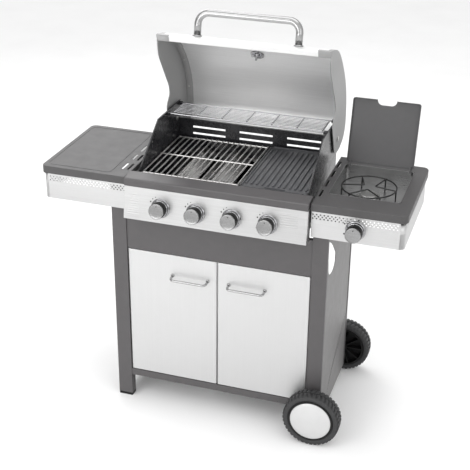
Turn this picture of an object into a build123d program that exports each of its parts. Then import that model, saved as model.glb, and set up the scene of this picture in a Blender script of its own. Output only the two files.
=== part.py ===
from build123d import *
import math
import os

os.makedirs("parts", exist_ok=True)

# ---------------------------------------------------------------- dimensions
# millimetres, +X to the right, +Y to the back, +Z up, floor at Z = 0
FRONT = -222.3575         # front face of the cart legs (the origin is under the
                        # middle of the whole object's footprint)
CART_HALF = 380.0       # half width over the legs
CART_DEPTH = 395.0      # front face of front legs to back face of rear legs
LEG_W = 52.0            # leg face width
LEG_D = 32.0            # leg inner flange depth
LEG_RETURN = 14.0       # leg outer flange depth
SHEET = 1.5             # folded sheet thickness
LEG_TOP = 858.0
PANEL_LOW = 45.0        # bottom edge of the side panels
RAIL_Z = (92.0, 118.0)  # front lower rail
DOOR_Z = (121.0, 611.0)
APRON_Z = (613.0, 748.0)
DOOR_GAP = 2.0
SHELF_TOP = 886.0
SHELF_LIP = 26.0
SHELF_OUT = 630.0       # outer end of the side shelves
SHELF_IN = 320.0        # inner edge of the side shelves
SHELF_Y = (-16.0, 405.0)
FASCIA_LOW = 767.0
PANEL_HALF = 316.0      # half width of the control panel
PANEL_FOOT = (-44.0, 750.0)
PANEL_HEAD = (-30.0, 862.0)
KNOB_X = (-185.0, -62.0, 62.0, 185.0)
KNOB_Z = 802.0
SIDE_KNOB = (466.0, 812.0)
KNOB_R = 29.0
KNOB_PUSH = 4.0
BOX_HALF = 295.0        # outer face of the firebox side walls
GRATE_Z = 876.0         # underside of the grates
WHEEL_R = 100.0
WHEEL_X = 366.0
AXLE_R = 5.0
RUN = 0.06              # running clearance on radius
HOOD_HALF = 302.0       # outer faces of the hood's end caps
HOOD_PIVOT = (410.0, 950.0)
LID_PIVOT = (334.0, 892.0)
MAN_Y, MAN_Z = 12.0, 797.0   # centre line of the gas manifold

def yy(v):
    """depth behind the legs' front face -> model Y"""
    return FRONT + v


def slab(x0, x1, y0, y1, z0, z1, mode=Mode.ADD):
    """rectangular plate; y given behind the legs' front face"""
    with BuildSketch(Plane.XY.offset(z0)) as s:
        with Locations(((x0 + x1) / 2, yy((y0 + y1) / 2))):
            Rectangle(x1 - x0, y1 - y0)
    extrude(s.sketch, amount=z1 - z0, mode=mode)


def profile_x(points, x0, x1, mode=Mode.ADD):
    """closed (y, z) outline extruded from x0 to x1"""
    with BuildSketch(Plane(origin=(x0, 0, 0), x_dir=(0, 1, 0), z_dir=(1, 0, 0))) as s:
        with BuildLine():
            Polyline(*[(yy(a), b) for a, b in points], close=True)
        make_face()
    extrude(s.sketch, amount=x1 - x0, mode=mode)


def profile_y(points, y0, y1, mode=Mode.ADD):
    """closed (x, z) outline extruded from depth y0 to y1"""
    with BuildSketch(Plane(origin=(0, yy(y0), 0), x_dir=(1, 0, 0), z_dir=(0, -1, 0))) as s:
        with BuildLine():
            Polyline(*points, close=True)
        make_face()
    extrude(s.sketch, amount=-(y1 - y0), mode=mode)


def rod(a, b, r, mode=Mode.ADD):
    """round bar between two points (y given behind the legs' front face)"""
    a = Vector(a[0], yy(a[1]), a[2])
    b = Vector(b[0], yy(b[1]), b[2])
    with BuildSketch(Plane(origin=a, z_dir=b - a)) as s:
        Circle(r)
    extrude(s.sketch, amount=(b - a).length, mode=mode)


def bent_rod(points, r, bend, hollow=0.0):
    """round bar or tube bent through the given points"""
    pts = [Vector(p[0], yy(p[1]), p[2]) for p in points]
    with BuildLine() as path:
        FilletPolyline(*pts, radius=bend)
    with BuildSketch(Plane(origin=path.line @ 0, z_dir=path.line % 0)) as s:
        Circle(r)
        if hollow:
            Circle(hollow, mode=Mode.SUBTRACT)
    sweep(s.sketch, path=path.line)


# ------------------------------------------------------------------ the cart
def leg(side, back, foot):
    """open channel: wide face, deep inner flange, short outer flange"""
    xi, xo = CART_HALF - LEG_W, CART_HALF
    sx = side
    f0, f1 = (0.0, SHEET) if not back else (CART_DEPTH - SHEET, CART_DEPTH)
    a0, a1 = (0.0, LEG_D) if not back else (CART_DEPTH - LEG_D, CART_DEPTH)
    b0, b1 = (0.0, LEG_RETURN) if not back else (CART_DEPTH - LEG_RETURN, CART_DEPTH)
    for x0, x1, y0, y1 in ((xi, xo, f0, f1), (xi, xi + SHEET, a0, a1), (xo - SHEET, xo, b0, b1)):
        lo, hi = sorted((sx * x0, sx * x1))
        slab(lo, hi, y0, y1, foot, LEG_TOP)
    # hole for the wheel axle
    if side > 0:
        rod((WHEEL_X, -5, WHEEL_R), (WHEEL_X, 36, WHEEL_R), AXLE_R, mode=Mode.SUBTRACT) if not back else \
            rod((WHEEL_X, CART_DEPTH - 36, WHEEL_R), (WHEEL_X, CART_DEPTH + 5, WHEEL_R), AXLE_R, mode=Mode.SUBTRACT)
        # clearance for the gas pipe to the side burner
        if not back:
            rod((320, MAN_Y, MAN_Z), (390, MAN_Y, MAN_Z), 7, mode=Mode.SUBTRACT)


with BuildPart() as legs_left:
    leg(-1, False, 10.0)
    leg(-1, True, 10.0)
with BuildPart() as legs_right:
    leg(1, False, PANEL_LOW)
    leg(1, True, PANEL_LOW)

# black plastic feet plugged into the two left legs
with BuildPart() as leg_feet:
    for y0, y1, p0, p1 in ((0, 34, 2.0, 30), (CART_DEPTH - 34, CART_DEPTH, CART_DEPTH - 30, CART_DEPTH - 2.0)):
        slab(-CART_HALF, -CART_HALF + LEG_W, y0, y1, 0, 10)
        slab(-CART_HALF + 2, -CART_HALF + LEG_W - 2, p0, p1, 10, 34)
    fillet(leg_feet.edges().filter_by(Axis.Z).group_by(Axis.Z)[0], 3)

LEAF = ((20, 742), (58, 720), (108, 674), (132, 634), (116, 608), (74, 600), (40, 614), (24, 662))


def side_panel(sx):
    """flat sheet behind the leg flanges with a leaf opening and a perforated sweep"""
    x0, x1 = sorted((sx * (CART_HALF - 2 * SHEET - 0.0), sx * (CART_HALF - SHEET)))
    slab(x0, x1, SHEET, CART_DEPTH - SHEET, PANEL_LOW, 846)
    # hand opening
    with BuildSketch(Plane(origin=(x0 - 5, 0, 0), x_dir=(0, 1, 0), z_dir=(1, 0, 0))) as s:
        with BuildLine():
            Spline(*[(yy(a), b) for a, b in LEAF], periodic=True)
        make_face()
    extrude(s.sketch, amount=20, mode=Mode.SUBTRACT)
    # perforated sweep climbing to the back
    holes = []
    for row in range(5):
        for i in range(26):
            t = (i + 0.5 * (row % 2)) / 25.0
            y = 118 + 245 * t ** 1.25 + row * 3.0
            z = 96 + 150 * t ** 0.85 + row * 11.0 - 26 * (1 - t) * row / 4
            if y < 372:
                holes.append((yy(y), z))
    with BuildSketch(Plane(origin=(x0 - 5, 0, 0), x_dir=(0, 1, 0), z_dir=(1, 0, 0))) as h:
        with Locations(*holes):
            Circle(2.6)
    extrude(h.sketch, amount=20, mode=Mode.SUBTRACT)


with BuildPart() as side_panel_left:
    side_panel(-1)
with BuildPart() as side_panel_right:
    side_panel(1)
    rod((370, MAN_Y, MAN_Z), (390, MAN_Y, MAN_Z), 7, mode=Mode.SUBTRACT)
    # cut-out for the side burner pan
    slab(370, 385, 77, 348, 823, 850, mode=Mode.SUBTRACT)

# floor of the cabinet: a tray with upturned rims; the gas bottle stands on it
with BuildPart() as base_shelf:
    slab(-326, 326, 24, 388, 100, 101.5)
    slab(-326, 326, 24, 25.5, 101.5, 116)
    slab(-326, 326, 386.5, 388, 101.5, 116)
    slab(-326, -324.5, 25.5, 386.5, 101.5, 116)
    slab(324.5, 326, 25.5, 386.5, 101.5, 116)
    with BuildSketch(Plane.XY.offset(90)) as s:
        with Locations((-120, yy(205))):
            Circle(28)
    extrude(s.sketch, amount=20, mode=Mode.SUBTRACT)

with BuildPart() as lower_rail_front:
    profile_x(((2, 92), (20, 92), (20, 93.5), (3.5, 93.5), (3.5, 116.5), (20, 116.5), (20, 118), (2, 118)), -328, 328)

with BuildPart() as apron_front:
    profile_x(((4, 613), (20, 613), (20, 614.5), (5.5, 614.5), (5.5, 746.5), (20, 746.5), (20, 748), (4, 748)), -328, 328)
    slab(-321, -301, 5.5, 25, 745, 750, mode=Mode.SUBTRACT)

# two rails across the open back, and the grip bar behind each hand opening
with BuildPart() as rear_rails:
    for z0, z1 in ((118, 150), (652, 692)):
        profile_x(((376, z0), (392, z0), (392, z1), (376, z1), (376, z1 - 1.5), (390.5, z1 - 1.5), (390.5, z0 + 1.5), (376, z0 + 1.5)), -328, 328)
with BuildPart() as door_hinge_pins:
    for x in (-319, 319):
        for z0, z1 in ((RAIL_Z[1], DOOR_Z[0] + 14), (DOOR_Z[1] - 14, APRON_Z[0])):
            rod((x, 11, z0), (x, 11, z1), 2.5)


def door(sx):
    """pressed door: front sheet with folded edges and hinge-pin bores"""
    lo, hi = sorted((sx * 1.5, sx * (CART_HALF - LEG_W - 2.0)))
    z0, z1 = DOOR_Z
    slab(lo, hi, 3, 19, z0, z1)
    fillet(edges_of_front(), 5)
    slab(lo + 1.2, hi - 1.2, 8, 19.5, z0 + 1.2, z1 - 1.2, mode=Mode.SUBTRACT)
    slab(lo + 5, hi - 5, 4.2, 8.1, z0 + 1.2, z1 - 1.2, mode=Mode.SUBTRACT)
    for a, b in ((z0, z0 + 8), (z1 - 8, z1)):
        slab(sx * 319 - 5, sx * 319 + 5, 4, 16, a, b)
    # shallower fold on the hinge side, so the edge turns clear of the leg
    h0, h1 = sorted((sx * 310, sx * 327))
    slab(h0, h1, 16, 20, z0 - 1, z1 + 1, mode=Mode.SUBTRACT)
    rod((sx * 319, 11, z0 - 2), (sx * 319, 11, z1 + 2), 2.5 + RUN, mode=Mode.SUBTRACT)


def edges_of_front():
    part = BuildPart._get_context("door")
    return part.edges().filter_by(Axis.Z).group_by(Axis.Y)[0]


with BuildPart() as door_left:
    door(-1)
with BuildPart() as door_right:
    door(1)


def door_handle(x):
    """slim bow handle, 128 between its feet"""
    bent_rod(((x - 64, 1.5, 532), (x - 64, -24, 527), (x + 64, -24, 527), (x + 64, 1.5, 532)), 4.0, 12)
    for dx in (-64, 64):
        rod((x + dx, -0.6, 532.2), (x + dx, 3, 532.2), 6.5)


with BuildPart() as door_handle_left:
    door_handle(-98)
with BuildPart() as door_handle_right:
    door_handle(106)

# --------------------------------------------------------------------- wheels
AX0, AX1 = -84.0, CART_DEPTH + 84.0
with BuildPart() as axle:
    rod((WHEEL_X, AX0, WHEEL_R), (WHEEL_X, AX1, WHEEL_R), AXLE_R)
    # shoulders that hold the wheels off the legs, and nuts under the caps
    rod((WHEEL_X, -26, WHEEL_R), (WHEEL_X, 0, WHEEL_R), 8)
    rod((WHEEL_X, CART_DEPTH, WHEEL_R), (WHEEL_X, CART_DEPTH + 26, WHEEL_R), 8)
    for a in (AX0, AX1 - 6):
        with BuildSketch(Plane(origin=(WHEEL_X, yy(a), WHEEL_R), z_dir=(0, 1, 0))) as s:
            RegularPolygon(8.5, 6)
        extrude(s.sketch, amount=6)


def wheel_frame(front):
    """plane on the wheel's inner side, normal pointing outwards along the axle"""
    if front:
        return Plane(origin=(WHEEL_X, yy(-26.6), WHEEL_R), x_dir=(1, 0, 0), z_dir=(0, -1, 0))
    return Plane(origin=(WHEEL_X, yy(CART_DEPTH + 26.6), WHEEL_R), x_dir=(1, 0, 0), z_dir=(0, 1, 0))


def ring_solid(pl, r_out, r_in, h0, h1, mode=Mode.ADD):
    with BuildSketch(pl.offset(h0)) as s:
        Circle(r_out)
        if r_in:
            Circle(r_in, mode=Mode.SUBTRACT)
    extrude(s.sketch, amount=h1 - h0, mode=mode)


def tyre(front):
    pl = wheel_frame(front)
    rp = Plane(origin=pl.origin, x_dir=pl.x_dir, z_dir=pl.x_dir.cross(pl.z_dir))
    with BuildSketch(rp) as s:
        with BuildLine():
            # radius along local x, width along local y (outwards)
            Polyline((78.5, wd(0.5, rp, pl)), (88, wd(0, rp, pl)), (95, wd(4, rp, pl)), (99.2, wd(12, rp, pl)), (100, wd(20, rp, pl)), (100, wd(34, rp, pl)),
                     (99.2, wd(42, rp, pl)), (95, wd(50, rp, pl)), (88, wd(54, rp, pl)), (78.5, wd(53.5, rp, pl)), close=True)
        make_face()
    revolve(s.sketch, axis=Axis(pl.origin, pl.z_dir))


def wd(w, rp, pl):
    """signed local height that is w along the outward direction"""
    return w * (1 if rp.y_dir.dot(pl.z_dir) > 0 else -1)


def wheel_rim(front):
    pl = wheel_frame(front)
    ring_solid(pl, 78.5, 72.5, 0.5, 53.5)
    ring_solid(pl, 72.5, 14, 24, 28)
    ring_solid(pl, 15, 0, 0, 50)
    with BuildSketch(pl.offset(3)) as s:
        with PolarLocations(43.5, 10):
            Rectangle(60, 3)
    extrude(s.sketch, amount=22)
    ring_solid(pl, AXLE_R + RUN, 0, -1, 60, mode=Mode.SUBTRACT)


def wheel_cap(front):
    """domed trim disc that covers the hub"""
    pl = wheel_frame(front)
    rp = Plane(origin=pl.origin, x_dir=pl.x_dir, z_dir=pl.x_dir.cross(pl.z_dir))
    with BuildSketch(rp) as s:
        with BuildLine():
            Polyline((0, wd(64, rp, pl)), (40, wd(62.4, rp, pl)), (62, wd(59, rp, pl)), (70, wd(55, rp, pl)), (71.5, wd(51, rp, pl)),
                     (69, wd(51, rp, pl)), (67.5, wd(54, rp, pl)), (61, wd(57, rp, pl)), (40, wd(60.2, rp, pl)), (0, wd(61.8, rp, pl)), close=True)
        make_face()
    revolve(s.sketch, axis=Axis(pl.origin, pl.z_dir))
    # three snap legs pressed into the rim
    with BuildSketch(pl.offset(40)) as t:
        with PolarLocations(69.3, 3):
            Rectangle(4, 12)
    extrude(t.sketch, amount=12)


with BuildPart() as wheel_front_tyre:
    tyre(True)
with BuildPart() as wheel_rear_tyre:
    tyre(False)
with BuildPart() as wheel_front_rim:
    wheel_rim(True)
with BuildPart() as wheel_rear_rim:
    wheel_rim(False)
with BuildPart() as wheel_front_cap:
    wheel_cap(True)
with BuildPart() as wheel_rear_cap:
    wheel_cap(False)

# -------------------------------------------------------------------- firebox
SIDE_OUT = ((29.5, 745), (29.5, 893), (52, 893), (225, 1012), (440, 1012), (440, 790), (400, 745))


def firebox_side(sx):
    x0, x1 = sorted((sx * (BOX_HALF - SHEET), sx * BOX_HALF))
    profile_x(SIDE_OUT, x0, x1)
    # folded stiffening edge along the slope, turned inwards
    a0, a1 = sorted((sx * (BOX_HALF - 5), sx * (BOX_HALF - SHEET)))
    profile_x(((60, 898.5), (225, 1012), (225, 1010.2), (60, 896.7)), a0, a1)
    profile_x(((225, 1012), (440, 1012), (440, 1010.4), (225, 1010.4)), a0, a1)
    # air slots
    for z in (905, 925, 945):
        profile_x(((168, z), (173, z), (173, z + 11), (168, z + 11)), x0 - 2, x1 + 2, mode=Mode.SUBTRACT)
    # hinge pin hole
    rod((x0 - 4, HOOD_PIVOT[0], HOOD_PIVOT[1]), (x1 + 4, HOOD_PIVOT[0], HOOD_PIVOT[1]), 4.0, mode=Mode.SUBTRACT)
    # two pegs that carry the warming rack
    for y in (304, 421):
        b0, b1 = sorted((sx * (BOX_HALF - 18), sx * (BOX_HALF - SHEET)))
        slab(b0, b1, y - 7, y + 7, 1001, 1003)
        slab(b0, b1, y - 7, y - 5, 1003, 1010.4)
        slab(b0, b1, y + 5, y + 7, 1003, 1010.4)


with BuildPart() as firebox_side_left:
    firebox_side(-1)
with BuildPart() as firebox_side_right:
    firebox_side(1)

BOX_IN = BOX_HALF - SHEET
# front wall, sloping floor halves and the front grate ledge, folded from one sheet
with BuildPart() as firebox_floor:
    profile_x(((28, 745), (29.5, 745), (29.5, 874.5), (76, 874.5), (76, 876), (31, 876), (31, 892), (28, 892)), -BOX_IN, BOX_IN)
    profile_x(((29.5, 757), (29.5, 755.5), (190, 727), (190, 728.5)), -BOX_IN, BOX_IN)
    profile_x(((260, 728.5), (260, 727), (400, 752), (431.5, 790), (430, 790), (399, 753.5)), -BOX_IN, BOX_IN)
    # joggles that close the ends of the grease slot
    for x0, x1 in ((-BOX_IN, -180), (180, BOX_IN)):
        slab(x0, x1, 189, 261, 727, 728.5)
    for x in KNOB_X:
        rod((x, 20, MAN_Z), (x, 40, MAN_Z), 15.2, mode=Mode.SUBTRACT)
    # runners for the grease tray
    for sx in (-1, 1):
        a, b = sorted((sx * 190, sx * 191.5))
        slab(a, b, 150, 431, 719, 728)
        a, b = sorted((sx * 181, sx * 190))
        slab(a, b, 150, 431, 719, 720.4)
        a, b = sorted((sx * 191.5, sx * 200))
        slab(a, b, 189, 261, 724, 728)

# rear wall with two rows of three vent slots and the rear grate ledge
with BuildPart() as firebox_rear_wall:
    slab(-BOX_IN, BOX_IN, 431.5, 433, 788, 945)
    slab(-BOX_IN, BOX_IN, 408, 431.5, 874.5, 876)
    slab(-BOX_IN, BOX_IN, 433, 440, 943.5, 945)
    for x in (-178, 0, 178):
        for z in (889, 914):
            slab(x - 62, x + 62, 420, 445, z, z + 7, mode=Mode.SUBTRACT)

# folded trim that covers the joint between the control panel and the firebox
with BuildPart() as front_trim:
    profile_x(((-31.5, 864), (-30, 864), (-30, 884.6), (-22.5, 888.5), (26, 892.6), (26, 894.1), (-23, 890), (-31.5, 885.6)), -PANEL_HALF, PANEL_HALF)
    for x0, x1 in ((-PANEL_HALF, -PANEL_HALF + 1.5), (PANEL_HALF - 1.5, PANEL_HALF)):
        profile_x(((-30, 866), (-30, 884.6), (-22.5, 888.5), (26, 892.6), (26, 866)), x0, x1)

# ------------------------------------------------------------- control panel
PN = Vector(0, -(PANEL_HEAD[1] - PANEL_FOOT[1]), PANEL_HEAD[0] - PANEL_FOOT[0]).normalized()
SLOPE = (PANEL_HEAD[0] - PANEL_FOOT[0]) / (PANEL_HEAD[1] - PANEL_FOOT[1])


def panel_y(z):
    return PANEL_FOOT[0] + SLOPE * (z - PANEL_FOOT[1])


def knob_plane(i):
    """plane on the outer surface of the panel at knob i, normal to the outside"""
    if i < 4:
        return Plane(origin=(KNOB_X[i], yy(panel_y(KNOB_Z)), KNOB_Z), x_dir=(1, 0, 0), z_dir=PN)
    return Plane(origin=(SIDE_KNOB[0], yy(-10), SIDE_KNOB[1]), x_dir=(1, 0, 0), z_dir=(0, -1, 0))


with BuildPart() as control_panel:
    o = [PANEL_FOOT, (-30.1, 861.2), (-28.5, 863.5), (20, 863.5), (20, 862.3), (-27.9, 862.3), (-28.9, 861.0), (-42.65, 751.2), (0, 751.2), (0, 750)]
    profile_x(o, -PANEL_HALF, PANEL_HALF)
    # end flanges
    for x0, x1 in ((-PANEL_HALF, -PANEL_HALF + 1.2), (PANEL_HALF - 1.2, PANEL_HALF)):
        profile_x((PANEL_FOOT, (-30.1, 861.2), (-28.5, 863.5), (0, 863.5), (0, 750)), x0, x1)
    for i in range(4):
        with BuildSketch(knob_plane(i).offset(-8)) as s:
            Circle(7)
        extrude(s.sketch, amount=12, mode=Mode.SUBTRACT)
    # raised ribs pressed beside the outer knobs
    def rib(x0, x1, z):
        profile_x(((panel_y(z - 1.6), z - 1.6), (panel_y(z) - 1.0, z), (panel_y(z + 1.6), z + 1.6), (panel_y(z) + 0.6, z)), x0, x1)
    for k in range(6):
        rib(226, 284, 803 + k * 7.6)
    for k in range(10):
        rib(-306 + 2.2 * k, -262, 770 + k * 7.6)

# chrome bezel rings round each knob
with BuildPart() as knob_bezels:
    for i in range(5):
        ring_solid(knob_plane(i), 33, 26.5, 0, 3.0)
        ring_solid(knob_plane(i), 31, 29.9, 3.0, 5.0)

# gas manifold with its inlet, and the branch to the side burner
with BuildPart() as manifold_pipe:
    rod((-318, MAN_Y, MAN_Z), (318, MAN_Y, MAN_Z), 9)
    rod((317, MAN_Y, MAN_Z), (454, MAN_Y, MAN_Z), 5)
    # drop pipe to the hose tail, which points to the open back of the cabinet
    rod((-309, MAN_Y + 2, 626), (-309, MAN_Y + 2, MAN_Z), 6)
    rod((-309, MAN_Y + 2, 632), (-309, MAN_Y + 14, 632), 6)
    rod((-309, MAN_Y + 10, 632), (-309, MAN_Y + 34, 632), 8)


def valve(i):
    """valve body between the manifold and the panel, bored for its stem"""
    pl = knob_plane(i)
    if i < 4:
        ring_solid(pl, 11, 4.0 + RUN, -37, -12)
        slab(KNOB_X[i] - 9, KNOB_X[i] + 9, -2, 8, 788, 806)
    else:
        ring_solid(pl, 10, 4.0 + RUN, -24, -6)
        slab(454, 478, 4, 22, 791, 803)
        rod((SIDE_KNOB[0], 14, SIDE_KNOB[1]), (SIDE_KNOB[0], 24, SIDE_KNOB[1]), 9)


# the orifice spuds behind the manifold belong to the valve set
with BuildPart() as gas_valves:
    for i in range(5):
        valve(i)
    for x in KNOB_X:
        rod((x, 18, MAN_Z), (x, 27, MAN_Z), 5)
    rod((-318, MAN_Y, MAN_Z), (318, MAN_Y, MAN_Z), 9.02, mode=Mode.SUBTRACT)


def valve_stem(i):
    pl = knob_plane(i)
    depth = -30 if i < 4 else -18
    ring_solid(pl, 4.0, 0, depth, 14)
    # flat-sided end that the knob plugs onto
    ring_solid(pl, 3.2, 0, 14, 30)


def knob(i):
    """round knob with a grip band, a skirt and an indicator dot"""
    pl = knob_plane(i)
    with BuildSketch(pl.offset(8)) as s:
        Circle(KNOB_R)
    extrude(s.sketch, amount=6)
    with BuildSketch(pl.offset(14)) as s2:
        Circle(27)
    extrude(s2.sketch, amount=26)
    with BuildSketch(pl.offset(40)) as s3:
        Circle(25.5)
    extrude(s3.sketch, amount=3, taper=20)
    # hollow behind, with the stem boss
    ring_solid(pl, 25, 6.5, 7, 34, mode=Mode.SUBTRACT)
    ring_solid(pl, 3.2 + RUN, 0, 7, 31, mode=Mode.SUBTRACT)
    ring_solid(pl, 4.0 + RUN, 0, 7, 14.3, mode=Mode.SUBTRACT)


stems, knobs = [], []
for i in range(5):
    with BuildPart() as st:
        valve_stem(i)
    stems.append(st)
    with BuildPart() as kn:
        knob(i)
    knobs.append(kn)

# -------------------------------------------------------------------- burners
with BuildPart() as burner_tubes:
    for x in KNOB_X:
        rod((x, 24, MAN_Z), (x, 408, MAN_Z), 15)
        rod((x, 22, MAN_Z), (x, 404, MAN_Z), 13.8, mode=Mode.SUBTRACT)
        # rear foot that rests on the floor of the firebox
        slab(x - 10, x + 10, 392, 394, 753.4, 784)
    with BuildSketch(Plane.XY.offset(803)) as s:
        with Locations(*[(x, yy(60 + 20 * k)) for x in KNOB_X for k in range(17)]):
            Rectangle(16, 1.6)
    extrude(s.sketch, amount=12, mode=Mode.SUBTRACT)

with BuildPart() as flame_tamers:
    for x in KNOB_X:
        profile_y(((x - 52, 826), (x, 856), (x + 52, 826), (x + 52, 824), (x, 854), (x - 52, 824)), 56, 414)
        for y in (56, 412.5):
            profile_y(((x - 52, 824), (x, 854), (x + 52, 824), (x + 40, 822), (x - 40, 822)), y, y + 1.5)
    # rest bars under their ends
    slab(-BOX_IN, BOX_IN, 44, 60, 820.5, 822)
    slab(-BOX_IN, BOX_IN, 410, 431.5, 820.5, 822)

# -------------------------------------------------------------------- grates
with BuildPart() as cooking_grate:
    for k in range(17):
        x = -286 + 21.0 * k
        rod((x, 50, GRATE_Z + 3.3), (x, 419, GRATE_Z + 3.3), 3.0)
    for y in (60, 232, 412):
        rod((-289, y, GRATE_Z + 6.6), (53, y, GRATE_Z + 6.6), 2.6) if y == 232 else \
            rod((-289, y, GRATE_Z + 3.3), (53, y, GRATE_Z + 3.3), 3.0)

with BuildPart() as griddle:
    slab(62, 289, 50, 420, GRATE_Z + 0.3, GRATE_Z + 5)
    fillet(griddle.edges().filter_by(Axis.Z), 10)
    for k in range(12):
        x = 74 + 18.6 * k
        profile_y(((x - 4.6, GRATE_Z + 4.5), (x - 2.2, GRATE_Z + 9.5), (x + 2.2, GRATE_Z + 9.5), (x + 4.6, GRATE_Z + 4.5)), 78, 392)
    # raised rim and a drain slot at the front
    for x0, x1, y0, y1 in ((62, 66, 62, 408), (285, 289, 62, 408), (74, 278, 50, 54), (74, 278, 416, 420)):
        slab(x0, x1, y0, y1, GRATE_Z + 4.5, GRATE_Z + 9)
    slab(140, 212, 60, 70, GRATE_Z - 1, GRATE_Z + 12, mode=Mode.SUBTRACT)

with BuildPart() as warming_rack:
    z = 1006.4
    for y in (304, 421):
        rod((-288, y, z), (288, y, z), 2.9)
    for k in range(7):
        x = -270 + 90.0 * k
        rod((x, 304, z), (x, 421, z), 2.3)
    for k in range(8):
        y = 317 + 13.0 * k
        rod((-270, y, z + 3.6), (270, y, z + 3.6), 1.8)

# -------------------------------------------------------------- grease tray
with BuildPart() as grease_tray:
    x0, x1, y0, y1, z0, z1 = -178, 178, 150, 418, 700, 722
    slab(x0, x1, y0, y1, z0, z1)
    slab(x0 + 1.2, x1 - 1.2, y0 + 1.2, y1 - 1.2, z0 + 1.2, z1 + 1, mode=Mode.SUBTRACT)
    for a, b in ((x0 - 8, x0), (x1, x1 + 8)):
        slab(a, b, y0, y1, z1 - 1.2, z1)
    slab(-60, 60, y1, y1 + 22, z1 - 1.2, z1)
    slab(-60, 60, y1 + 20.8, y1 + 22, z1 - 14, z1 - 1.2)

# ------------------------------------------------------------- side shelves
SLOT_Y = (75, 159, 243, 327)


def shelf_top(sx, slot_x, opening=None, slots_y=SLOT_Y):
    lo, hi = sorted((sx * SHELF_IN, sx * SHELF_OUT))
    y0, y1 = SHELF_Y
    slab(lo, hi, y0, y1, SHELF_TOP - SHELF_LIP, SHELF_TOP)
    part = BuildPart._get_context("shelf")
    outer = part.edges().filter_by(Axis.Z).sort_by(Axis.X)
    corner = outer[-2:] if sx > 0 else outer[:2]
    fillet(corner, 22)
    part = BuildPart._get_context("shelf")
    fillet(part.edges().group_by(Axis.Z)[-1], 3.0)
    # hollow underside
    with BuildSketch(Plane.XY.offset(SHELF_TOP - SHELF_LIP - 1)) as s:
        with Locations(((lo + hi) / 2, yy((y0 + y1) / 2))):
            Rectangle(hi - lo - 3, y1 - y0 - 3)
        pick = s.vertices().sort_by(Axis.X)
        fillet(pick[-2:] if sx > 0 else pick[:2], 20.5)
    extrude(s.sketch, amount=SHELF_LIP + 1 - 1.6, mode=Mode.SUBTRACT)
    pts = [(x, yy(v)) for x in slot_x for v in slots_y]
    with BuildSketch(Plane.XY.offset(SHELF_TOP - 8)) as c:
        with Locations(*pts):
            SlotOverall(54, 8, rotation=90)
    extrude(c.sketch, amount=12, mode=Mode.SUBTRACT)
    if opening:
        slab(*opening, SHELF_TOP - 8, SHELF_TOP + 4, mode=Mode.SUBTRACT)


PAN = (352, 588, 80, 345)
with BuildPart() as shelf_left_top:
    shelf_top(-1, (-336, -356))
    # shallow pressed rim round the working surface
    with BuildSketch(Plane.XY.offset(SHELF_TOP - 0.8)) as s:
        with Locations((-497, yy(194))):
            RectangleRounded(236, 380, 18)
            RectangleRounded(228, 372, 14, mode=Mode.SUBTRACT)
    extrude(s.sketch, amount=2, mode=Mode.SUBTRACT)
with BuildPart() as shelf_right_top:
    shelf_top(1, (331,), PAN)


def fascia(sx):
    """brushed skirt under the shelf: front, end and back sheets in one wrap"""
    lo, hi = sorted((sx * (SHELF_IN + 1.6), sx * (SHELF_OUT - 6)))
    y0, y1 = SHELF_Y[0] + 6, SHELF_Y[1] - 6
    z1 = SHELF_TOP - 2.0
    with BuildSketch(Plane.XY.offset(FASCIA_LOW)) as s:
        with Locations(((lo + hi) / 2, yy((y0 + y1) / 2))):
            Rectangle(hi - lo, y1 - y0)
        pick = s.vertices().sort_by(Axis.X)
        fillet(pick[-2:] if sx > 0 else pick[:2], 18)
    extrude(s.sketch, amount=z1 - FASCIA_LOW)
    with BuildSketch(Plane.XY.offset(FASCIA_LOW - 1)) as t:
        a, b = (lo - 5, hi - 1.2) if sx > 0 else (lo + 1.2, hi + 5)
        with Locations(((a + b) / 2, yy((y0 + y1) / 2))):
            Rectangle(b - a, y1 - y0 - 2.4)
        pick = t.vertices().sort_by(Axis.X)
        fillet(pick[-2:] if sx > 0 else pick[:2], 16.8)
    extrude(t.sketch, amount=z1 - FASCIA_LOW + 2, mode=Mode.SUBTRACT)
    # folded lower return
    for ya, yb in ((y0, y0 + 9.5), (y1 - 3.7, y1)):
        a, b = sorted((sx * (SHELF_IN + 1.6), sx * (SHELF_OUT - 26)))
        slab(a, b, ya, yb, FASCIA_LOW, FASCIA_LOW + 1.2)
    # staggered round perforation under the lip
    rows = ((834, 0.0), (841, 6.2), (848, 0.0))
    holes = []
    for z, d in rows:
        n = 0
        while 326 + d + 12.4 * n < 600:
            holes.append((sx * (326 + d + 12.4 * n), z))
            n += 1
    with BuildSketch(Plane(origin=(0, yy(y0 - 3), 0), x_dir=(1, 0, 0), z_dir=(0, -1, 0))) as h:
        with Locations(*holes):
            Circle(2.7)
    extrude(h.sketch, amount=-8, mode=Mode.SUBTRACT)
    side = []
    for z, d in rows:
        n = 0
        while 20 + d + 12.4 * n < 370:
            side.append((yy(20 + d + 12.4 * n), z))
            n += 1
    with BuildSketch(Plane(origin=(sx * (SHELF_OUT - 12), 0, 0), x_dir=(0, 1, 0), z_dir=(1, 0, 0))) as h2:
        with Locations(*side):
            Circle(2.7)
    extrude(h2.sketch, amount=sx * 12, mode=Mode.SUBTRACT)


with BuildPart() as shelf_left_fascia:
    fascia(-1)
with BuildPart() as shelf_right_fascia:
    fascia(1)
    with BuildSketch(knob_plane(4).offset(-4)) as s:
        Circle(7)
    extrude(s.sketch, amount=8, mode=Mode.SUBTRACT)

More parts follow.
